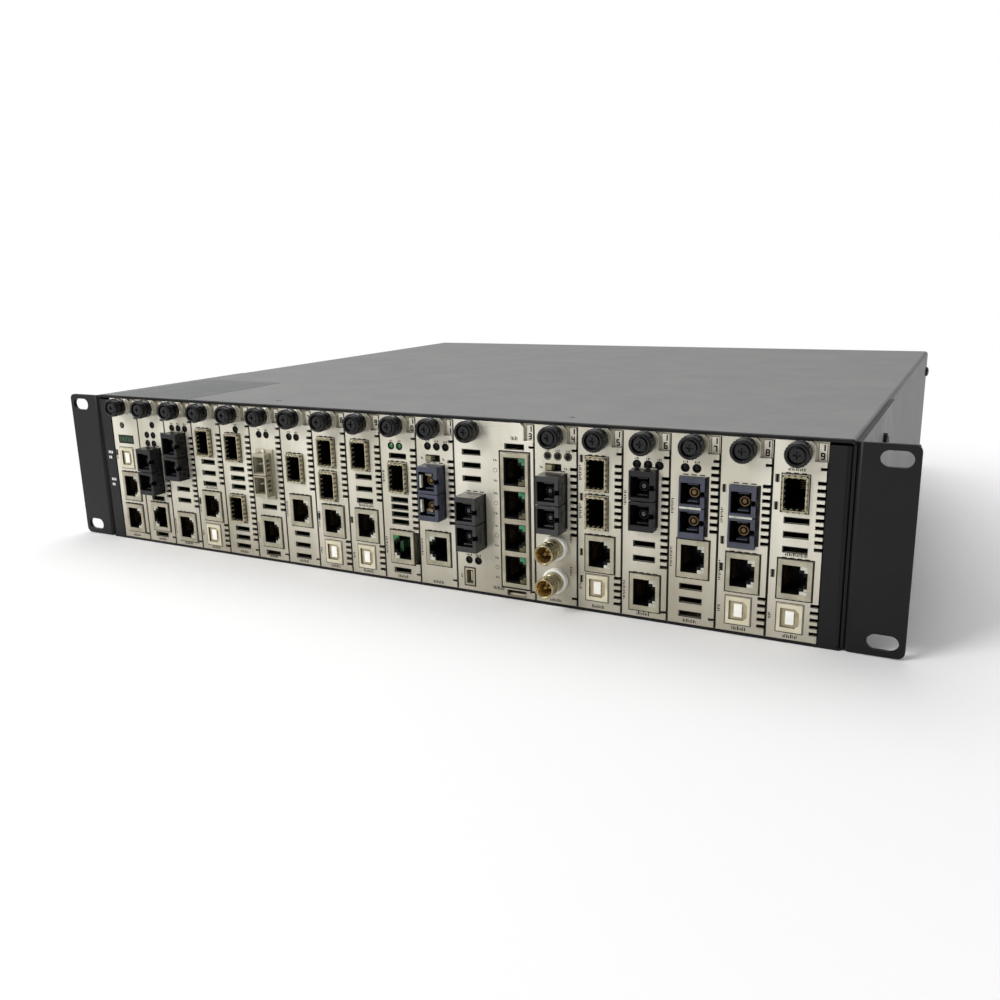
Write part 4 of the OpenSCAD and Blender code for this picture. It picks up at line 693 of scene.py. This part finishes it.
def marks(n, faces):
    """Dark frames, dashes, strips and rings on the plate, which are painted shade of the gaps round the
    sockets, vents, lamps and hole and between the plates, but print round the square data ports; and
    printed strokes that stand where their names would be.
    """
    s = Solids()
    top, deep = PRINT_AND_SHADE
    left = slot_x(n)

    # A dark frame round a cut-out: painted shade of the gap round jacks, jack blocks, cages, the small port
    # and vents, and print round the square data ports
    def outline(x, z, w, h, line=0.42):
        s.prism(rect(w, h, x, z), PRINT_AND_SHADE, "ink_and_shade", [(rect(w - 2 * line, h - 2 * line, x, z), None)])

    # Dark dashes along the top of a cut-out: painted shade, like the frame
    def shade_dashes(x, z, w, count):
        half = w / count * 0.32
        for at in spread(count, w / count):
            s.box((x + at - half, x + at + half), PRINT_AND_SHADE, (z - 0.25, z + 0.25), "ink_and_shade")

    def strokes(x, z, count, h, upright=False):
        """Strokes of three heights and two widths, in a row or, where upright, in a column."""
        for k, at in enumerate(spread(count, 0.78)):
            tall = h * (1, 0.62, 0.84)[(k * 5 + n) % 3]
            near = (at - 0.17, at + 0.17 + 0.16 * ((k + n) % 2))
            if upright:
                s.box((x - h / 2, x - h / 2 + tall), PRINT_AND_SHADE, (z + near[0], z + near[1]), "ink_and_shade")
            else:
                s.box((x + near[0], x + near[1]), PRINT_AND_SHADE, (z - h / 2, z - h / 2 + tall), "ink_and_shade")

    # A dark strip along the plate's left edge: painted shade of the gap between plates
    s.box((left, left + 0.6), PRINT_AND_SHADE, (PLATE_Z + 0.2, PLATE_Z + PLATE_H - 0.2), "inside")
    for kind, x, z, reach in faces:
        if kind == "vent":
            outline(x, z, 10.4, 2.9, 0.3)
        if kind == "hole":
            # A dark ring round the hole: painted shade that widens it
            s.lathe([(1.1, top), (1.9, top), (1.9, deep), (1.1, deep)], "ink_and_shade", 24, x, z)
        if kind == "lamp":
            # A dark ring round each lamp: painted shade of the gap round it
            s.lathe([(1.6, top), (2.0, top), (2.0, deep), (1.6, deep)], "inside", 24, x, z)
            if n == DOUBLE_CARD:
                strokes(x, z + 2.7, 4, 1.1)
            elif n not in PLAIN_LAMPS:
                strokes(x, z + 2.7, 3, 0.95)
        if kind in ("jack", "jack_left"):
            outline(x, z, 15.4, 18.6, 0.55)
            shade_dashes(x, z + 9.3, 12.5, 4)
            if n in OVER_JACK:
                strokes(x, z + 10.9, 12, 1.5)
            if n in BESIDE_JACK:
                strokes(left + 1.5, z, 12, 1.1, True)
        if kind == "port":
            outline(x, z, 11.8, 13.6, 0.3)
            strokes(left + 1.7, z, 4, 1.3, True)
        if kind == "cage":
            outline(x, z, 11.8, 16.8, 0.45)
            shade_dashes(x, z + 8.5, 9.5, 3)
            if n in BESIDE_CAGE:
                strokes(left + 1.6, z, 9, 1.4, True)
            if n in OVER_CAGE:
                strokes(x, z + 10.2, 9, 1.4)
        if kind == "fibre":
            # Dashes over the receptacle and a dark strip at its right: painted shade of the gap in the
            # plate's cut-out
            shade_dashes(x + 0.6, z + 14.6, 11, 3)
            s.box((x + 5.9, x + (7.3 if reach < 3 else 6.5)), PRINT_AND_SHADE, (z - 12.5, z + 14.2), "ink_and_shade")
            if n in BESIDE_FIBRE:
                strokes(left + 1.6, z, 9, 1.2, True)
        if kind == "switch":
            strokes(x - 6.2, z, 2, 1.4)
            strokes(x + 6.2, z, 2, 1.4)
        if kind == "mini":
            outline(x, z, 6.7, 10.1, 0.6)
            strokes(x - 4.6, z, 3, 1.0, True)
        if kind == "gang":
            outline(x, z, 16.8, 68.8, 0.8)
            strokes(x, z + 40.6, 5, 1.9)
            for at in spread(GANG_PORTS, GANG_PITCH):
                for lift in (-5.0, 5.0):
                    strokes(x - 10.4, z + at + lift, 3, 1.1)
                s.lathe([(0.85, top), (1.05, top), (1.05, deep), (0.85, deep)], "ink_and_shade", 20, x - 10.4, z + at)
        if kind == "coax":
            strokes(x + 7.6, z + 5, 6, 1.1, True)
    # The row at the plate's foot
    across, up = (23.4, 3.4) if n == DOUBLE_CARD else (10.5, 1.7)
    strokes(left + across, PLATE_Z + up, 8, 1.7)
    s.piece(f"slot_{n:02d}_marks", f"slot_{n:02d}_card", "faceplate_nickel", 0)


# Cards

# What tells a card's solids apart, in mm: the thumbscrew's retaining ring, across and along Y, the
# tab's height, the least height of a plate and depth of a board, the Y that the parts on a board lie
# behind, and the thickness that a chip stays under and a can is over
RING, TAB_H, PLATE_MIN, BOARD_MIN, PARTS_Y, CHIP_MAX, CAN_MIN = (8.6, 1.4), 1.9, 80, 150, 40, 2, 8
# A board's X from its plate's left edge and its thickness, and the contacts on its tongue: their number
# on a side, where they lie in Y, the lowest one's Z, their pitch and height, and how far they stand out
BOARD_X, BOARD_T = 2.6, 1.6
CONTACTS, CONTACT_Y, CONTACT_Z = 26, (158.6, 165.0), 16.2
CONTACT_PITCH, CONTACT_H, CONTACT_T = 1.85, 1.1, 0.04
SOCKETS = {"gang": gang, "cage": cage, "metal": metal_fibre, "port": port, "mini": mini, "coax": coax}


def card(n):
    """A card: the solids of its CAD node, told apart by their size and place, and its sockets."""
    body, name = f"slot_{n:02d}_card", f"slot_{n:02d}"
    w = plate_w(n)
    faces = []
    for item in FACES[n].split(","):
        kind, x, z, *reach = item.split()
        faces.append((kind, slot_x(n) + float(x) * w, PLATE_Z + float(z) * PLATE_H,
                      float(reach[0]) if reach else 0.0))
    plate, ring_tab, board, parts = Solids(), Solids(), Solids(), Solids()
    for solid, low, high in islands(body):
        size = high - low
        if size.z > PLATE_MIN:
            plate.take(solid, "nickel")
        elif abs(size.x - RING[0]) < 0.1 and abs(size.y - RING[1]) < 0.1:
            ring_tab.take(solid, "bright")
        elif abs(size.z - TAB_H) < 0.05 and size.y < 8:
            ring_tab.take(solid, "bright" if size.x > 8 else "shield")
        elif size.y > BOARD_MIN:
            board.take(solid, "board")
        elif low.y > PARTS_Y:
            finish = "chip" if size.x < CHIP_MAX else "can" if size.x > CAN_MIN else "module"
            parts.take(solid, finish)
            if finish == "chip":
                legs(parts, low, high)
            if finish == "can":
                can_top(parts, low, high)
    o = plate.piece(f"{name}_faceplate", body, "faceplate_nickel", 0.12)
    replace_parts(o, body)
    ring_tab.piece(f"{name}_collar", body, "rail_metal", 0.12)
    gold_tongue(board, n)
    board.piece(f"{name}_board", body, "circuit_board", 0.1)
    parts.piece(f"{name}_board_parts", body, "circuit_board", 0.15)
    counts = {}
    for kind, x, z, reach in faces:
        counts[kind] = counts.get(kind, 0) + 1
        label = f"{name}_{kind}_{counts[kind]}"
        if kind in ("jack", "jack_left"):
            jack(n, label, x, z, kind)
        if kind == "fibre":
            fibre(n, label, x, z, reach)
        if kind in SOCKETS:
            SOCKETS[kind](n, label, x, z)
    small_parts(n, faces)
    marks(n, faces)


def legs(s, low, high):
    """The legs of a chip, along its four sides."""
    y, z = (low.y + high.y) / 2, (low.z + high.z) / 2
    half = (high.y - low.y) / 2
    x = (low.x - 0.1, low.x + 0.5)
    for at in spread(9, 1.4):
        for side in (-1, 1):
            near, far = side * (half - 0.1), side * (half + 0.9)
            s.box(x, sorted((y + near, y + far)), (z + at - 0.3, z + at + 0.3), "bright")
            s.box(x, (y + at - 0.3, y + at + 0.3), sorted((z + near, z + far)), "bright")


def can_top(s, low, high):
    """The sleeve of a can, leaving its top bare."""
    y, z, r = (low.y + high.y) / 2, (low.z + high.z) / 2, (high.y - low.y) / 2
    turn = Matrix.Translation((low.x, y, z)) @ Matrix.Rotation(-math.pi / 2, 4, "Z")
    inner, outer = r - 0.02, r + 0.14
    s.lathe([(inner, 0.4), (outer, 0.4), (outer, 7.6), (inner, 7.6)], "sleeve", 32, turn=turn)


def gold_tongue(s, n):
    """The contacts on the edge tongues of a card's boards."""
    for k in range(span(n)):
        x = slot_x(n) + BOARD_X + k * PITCH
        for side in ((x - CONTACT_T, x + 0.02), (x + BOARD_T - 0.02, x + BOARD_T + CONTACT_T)):
            for m in range(CONTACTS):
                z = CONTACT_Z + m * CONTACT_PITCH
                s.box(side, CONTACT_Y, (z, z + CONTACT_H), "gold")


for n in FACES:
    card(n)

# The CAD nodes that stay, by their finish and the rounding of their edges in mm
FINISHES = {
    ("black_paint", 0.3): ("base_pan", "rear_panel"),
    ("black_paint", 0.35): ("rack_ear_left", "rack_ear_right"),
    ("cover", 0.3): ("top_cover",),
    ("rail", 0.15): ("slot_rail_upper", "slot_rail_lower"),
    ("guide", 0.1): ("card_guides_upper", "card_guides_lower"),
    ("steel", 0.1): ("bulkhead",),
    ("board", 0.1): ("backplane_board", "psu_left_board", "psu_right_board"),
    ("black", 0.1): ("backplane_connectors",),
    ("black", 0.15): ("psu_left_fan_rotor", "psu_right_fan_rotor"),
    ("black", 0.25): ("psu_left_switch", "psu_right_switch"),
    ("brass", 0.15): ("ground_stud",),
    ("slider", 0.15): ("slot_11_slide_switch", "slot_14_slide_switch"),
}


def finished(o, finish, bevel):
    """Gives a CAD node its finish, joins the facets of its flat faces and rounds its edges."""
    for slot in o.material_slots:
        slot.material = M[finish]
    weld = o.modifiers.new("weld", "WELD")
    weld.merge_threshold = 1e-6
    flat = o.modifiers.new("flat", "DECIMATE")
    flat.decimate_type, flat.angle_limit = "DISSOLVE", math.radians(0.5)
    edge(o, bevel)


for (finish, bevel), names in FINISHES.items():
    for name in names:
        finished(NODES[name], finish, bevel)

screws = Solids()
for solid, low, high in islands("chassis_screws"):
    screws.take(solid, "cover" if low.z > 80 and high.z > CHASSIS_H - 1.5 else "screw")
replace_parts(screws.piece("chassis_screw_heads", "chassis", "screw_steel", 0.15), "chassis_screws")


def thumbscrew(n):
    """A knob with a cupped end that holds a crossed disc, a ribbed barrel, a neck and a rear flange."""
    node = f"slot_{n:02d}_thumbscrew"
    low, high = (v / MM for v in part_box(node))
    front, r = low.y, (high.x - low.x) / 2
    back = front + KNOB_L
    s = Solids((low.x + high.x) / 2, (low.z + high.z) / 2)
    s.lathe([(0, front + 2.4), (r - 1.7, front + 2.4), (r - 1.5, front + 0.3), (r - 1.2, front),
             (r - 0.7, front), (r - 0.25, front + 0.4), (r - 0.1, front + 0.9), (r - 0.1, front + 3.6),
             (r - 0.7, front + 3.9), (r - 0.7, front + 4.7), (r, front + 5.0), (r, back - 0.4),
             (r - 0.3, back), (2.0, back), (2.0, high.y - 0.4), (1.7, high.y), (0, high.y)], "knob", 40)
    arm, half = 1.5, 0.34
    cross = [(half, arm), (-half, arm), (-half, half), (-arm, half), (-arm, -half), (-half, -half),
             (-half, -arm), (half, -arm), (half, -half), (arm, -half), (arm, half), (half, half)]
    s.prism(ring(r - 2.3, 36), (front + 0.7, front + 2.5), "knob", [(cross, front + 2.0)])
    for px, pz in ring(r - 0.12, 24):
        s.rod((px, front + 1.2, pz), (px, front + 3.4, pz), 0.4, 0.4, "knob")
    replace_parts(s.piece(f"slot_{n:02d}_knob", node, "knob_plastic", 0.1), node)


for n in FACES:
    thumbscrew(n)


# Power supplies

# What tells the solids of a supply's case apart, in mm: the least depth of the shell and width of the
# fan's frame, the Y that the frame starts before, the one that the guard lies behind and the one that
# the backplane's socket ends before, a screw's head across, and the switch bezel's width and height
SHELL_MIN, FAN_MIN, FAN_Y, GUARD_Y, SOCKET_Y, SCREW_HEAD, BEZEL = 150, 55, 400, 407, 200, 6.8, (16.2, 21.8)


def supply(side):
    """A power supply: the solids of its case, told apart by their size and place."""
    name = f"psu_{side}"
    body = f"{name}_supply"
    shell, fan, guard, inlet, bezel, plug, screws = (Solids() for _ in range(7))
    for solid, low, high in islands(f"{name}_case"):
        size = high - low
        if size.y > SHELL_MIN:
            shell.take(solid, "steel")
        elif min(size.x, size.z) > FAN_MIN and low.y < FAN_Y:
            fan.take(solid, "black")
        elif low.y > GUARD_Y and size.y < 1.7 and size.x > 10:
            guard.take(solid, "bright")
        elif high.y < SOCKET_Y:
            plug.take(solid, "black")
        elif abs(size.x - SCREW_HEAD) < 0.1 and size.y < 2.3:
            screws.take(solid, "bright")
        elif abs(size.z - BEZEL[1]) < 0.2 or abs(size.x - BEZEL[0]) < 0.2:
            bezel.take(solid, "black")
        else:
            inlet.take(solid, "bright" if size.x < 7 else "black")
    o = shell.piece(f"{name}_shell", body, "supply_steel", 0.2)
    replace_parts(o, f"{name}_case")
    fan.piece(f"{name}_fan_frame", body, "switch_plastic", 0.3)
    guard.piece(f"{name}_fan_guard", body, "supply_steel", 0.3, 3)
    inlet.piece(f"{name}_{'inlet' if side == 'left' else 'terminals'}", body, "switch_plastic", 0.25)
    bezel.piece(f"{name}_switch_bezel", body, "switch_plastic", 0.2)
    plug.piece(f"{name}_backplane_socket", body, "switch_plastic", 0.2)
    screws.piece(f"{name}_screws", body, "screw_steel", 0.2)


supply("left")
supply("right")

# The slot numbers on the rail, the blank label on the cover and the marks on the left strip

# Width and height of a number's tag and of the field in its frame, how far its middle is from the
# card's right edge, and its height above the floor
TAG, TAG_FIELD, TAG_INSET, TAG_Z = (3.5, 7.8), (3.1, 7.4), 2.1, 83.0
# The Y of the rail's face, and a digit's height
RAIL_Y, DIGIT_H = 1.5, 2.4


def digit(s, value, x, z):
    """A plain digit drawn with bars."""
    h = DIGIT_H
    w, t = h * 0.5, h * 0.19
    bars = {"a": (0, h / 2, w, t), "g": (0, 0, w, t), "d": (0, -h / 2, w, t),
            "f": (-w / 2, h / 4, t, h / 2), "b": (w / 2, h / 4, t, h / 2),
            "e": (-w / 2, -h / 4, t, h / 2), "c": (w / 2, -h / 4, t, h / 2)}
    lit = ("abcdef", "bc", "abged", "abgcd", "fgbc", "afgcd", "afgedc", "abc", "abcdefg", "abcdfg")[value]
    for key in lit:
        dx, dz, bw, bh = bars[key]
        s.prism(rect(bw + t * 0.4, bh + t * 0.4, x + dx, z + dz), (RAIL_Y - 0.1, RAIL_Y), "ink_and_shade")


numbers = Solids()
for n in range(1, SLOTS + 1):
    x = slot_x(n) + PITCH - PLATE_GAP - TAG_INSET
    field = rect(*TAG_FIELD, x, TAG_Z)
    numbers.prism(rect(*TAG, x, TAG_Z), (RAIL_Y - 0.04, RAIL_Y + 0.01), "ink_and_shade", [(field, None)])
    numbers.prism(field, (RAIL_Y - 0.05, RAIL_Y + 0.01), "tag")
    if n >= 10:
        digit(numbers, n // 10, x, TAG_Z + 1.9)
        digit(numbers, n % 10, x, TAG_Z - 1.6)
    else:
        digit(numbers, n, x, TAG_Z + 0.1)
numbers.piece("slot_numbers", "chassis", "rail_metal", 0)

# Where the label lies in X and Y
LABEL = ((-210, -146), (6, 84))
label = Solids()
label.box(*LABEL, (CHASSIS_H - 0.02, CHASSIS_H + 0.1), "label")
label.piece("cover_label", "chassis", "cover_sheet", 0.05)

# The middles of the strip's two groups of marks, the X of their left edge, a mark's width and height,
# and the pitch of the marks and of the rows
STRIP_Z, STRIP_X, MARK, MARK_PITCH, ROW_PITCH = (52.5, 35.5), -212.9, (0.9, 1.6), 1.35, 3.2
strip = Solids()
for z in STRIP_Z:
    for row, count in zip(spread(2, ROW_PITCH), (2, 3)):
        for k in range(count):
            middle = STRIP_X + MARK[0] / 2 + k * MARK_PITCH
            strip.prism(rect(*MARK, middle, z + row), PRINT_AND_SHADE, "light_ink")
strip.piece("strip_marks", "chassis", "body_sheet", 0)

# Camera, floor and light

# The camera fitted to the photograph: its place in metres, its azimuth, rise and roll in degrees, and
# its lens and sensor in mm
CAMERA_AT, CAMERA_TURN, LENS, SENSOR = (0.26095, -0.38117, 0.1571), (-28.02, -13.98, -1.32), 33.296, 36
# The sky's direction in X, from the left to the right, and its strength there
SKY = (-1.0, 1.0, 0.72, 0.16)
# The floor reaches this far each way, just under the part, and glows white from here on, in metres
FLOOR, FLOOR_Z, GLOW_FADE = 30, -1e-4, (0.24, 0.6, 0.0, 1.0)
azimuth, rise, roll = map(math.radians, CAMERA_TURN)
ahead = Vector((math.sin(azimuth) * math.cos(rise), math.cos(azimuth) * math.cos(rise), math.sin(rise)))
right = ahead.cross(Vector((0, 0, 1))).normalized()
up = right.cross(ahead)
right, up = right * math.cos(roll) + up * math.sin(roll), up * math.cos(roll) - right * math.sin(roll)
camera = bpy.data.objects.new("camera", bpy.data.cameras.new("camera"))
camera.data.lens, camera.data.sensor_width = LENS, SENSOR
camera.matrix_world = Matrix.Translation(CAMERA_AT) @ Matrix((right, up, -ahead)).transposed().to_4x4()
bpy.context.scene.collection.objects.link(camera)
bpy.context.scene.camera = camera
bpy.context.scene.view_settings.view_transform = "Standard"


def seen_by(tree, *kinds):
    """One for rays of these kinds, and else zero."""
    path = tree.nodes.new("ShaderNodeLightPath")
    value = path.outputs[kinds[0]]
    for kind in kinds[1:]:
        value = combine(tree, "MAXIMUM", value, path.outputs[kind])
    return value


world = bpy.data.worlds.new("studio")
bpy.context.scene.world = world
world.use_nodes = True
tree = world.node_tree
sky = tree.nodes["Background"]
seen = tree.nodes.new("ShaderNodeBackground")
seen.inputs["Strength"].default_value = 1.0
for n in (sky, seen):
    n.inputs["Color"].default_value = (1, 1, 1, 1)
toward = tree.nodes.new("ShaderNodeTexCoord").outputs["Generated"]
tree.links.new(map_range(tree, axis(tree, toward, "X"), SKY), sky.inputs["Strength"])
mix_shaders(tree, seen_by(tree, "Is Camera Ray", "Is Transmission Ray"), sky.outputs["Background"],
            seen.outputs["Background"], "World Output")

floor = bpy.data.objects.new("floor", bpy.data.meshes.new("floor"))
floor.data.from_pydata([(x, y, FLOOR_Z) for x, y in rect(2 * FLOOR, 2 * FLOOR)], [], [(0, 1, 2, 3)])
bpy.context.scene.collection.objects.link(floor)
paper = bpy.data.materials.new("paper")
paper.use_nodes = True
tree = paper.node_tree
matt = tree.nodes["Principled BSDF"]
matt.inputs["Base Color"].default_value = (0.96, 0.96, 0.96, 1)
matt.inputs["Roughness"].default_value = 0.9
matt.inputs["Specular IOR Level"].default_value = 0.0
glow = tree.nodes.new("ShaderNodeEmission")
where = tree.nodes.new("ShaderNodeTexCoord")
length = tree.nodes.new("ShaderNodeVectorMath")
length.operation = "LENGTH"
tree.links.new(where.outputs["Object"], length.inputs[0])
fade = map_range(tree, length.outputs["Value"], GLOW_FADE, True)
looking = seen_by(tree, "Is Camera Ray", "Is Glossy Ray", "Is Transmission Ray")
mix_shaders(tree, combine(tree, "MULTIPLY", fade, looking), matt.outputs["BSDF"],
            glow.outputs["Emission"], "Material Output")
floor.data.materials.append(paper)


def lamp(name, at, aim, size, power):
    """A square soft lamp, its size in metres and its power in watts."""
    data = bpy.data.lights.new(name, "AREA")
    data.shape, data.size, data.size_y, data.energy = "RECTANGLE", size, size, power
    o = bpy.data.objects.new(name, data)
    o.location = at
    o.rotation_euler = (Vector(aim) - Vector(at)).to_track_quat("-Z", "Y").to_euler()
    bpy.context.scene.collection.objects.link(o)


lamp("key", (-1.0, -1.5, 1.1), (0, 0.0, 0.05), 0.9, 32)
lamp("right", (1.7, -1.0, 0.6), (0, 0.1, 0.05), 1.0, 2.5)
lamp("top", (-0.35, 0.75, 1.7), (0, 0.2, 0.05), 1.3, 11)
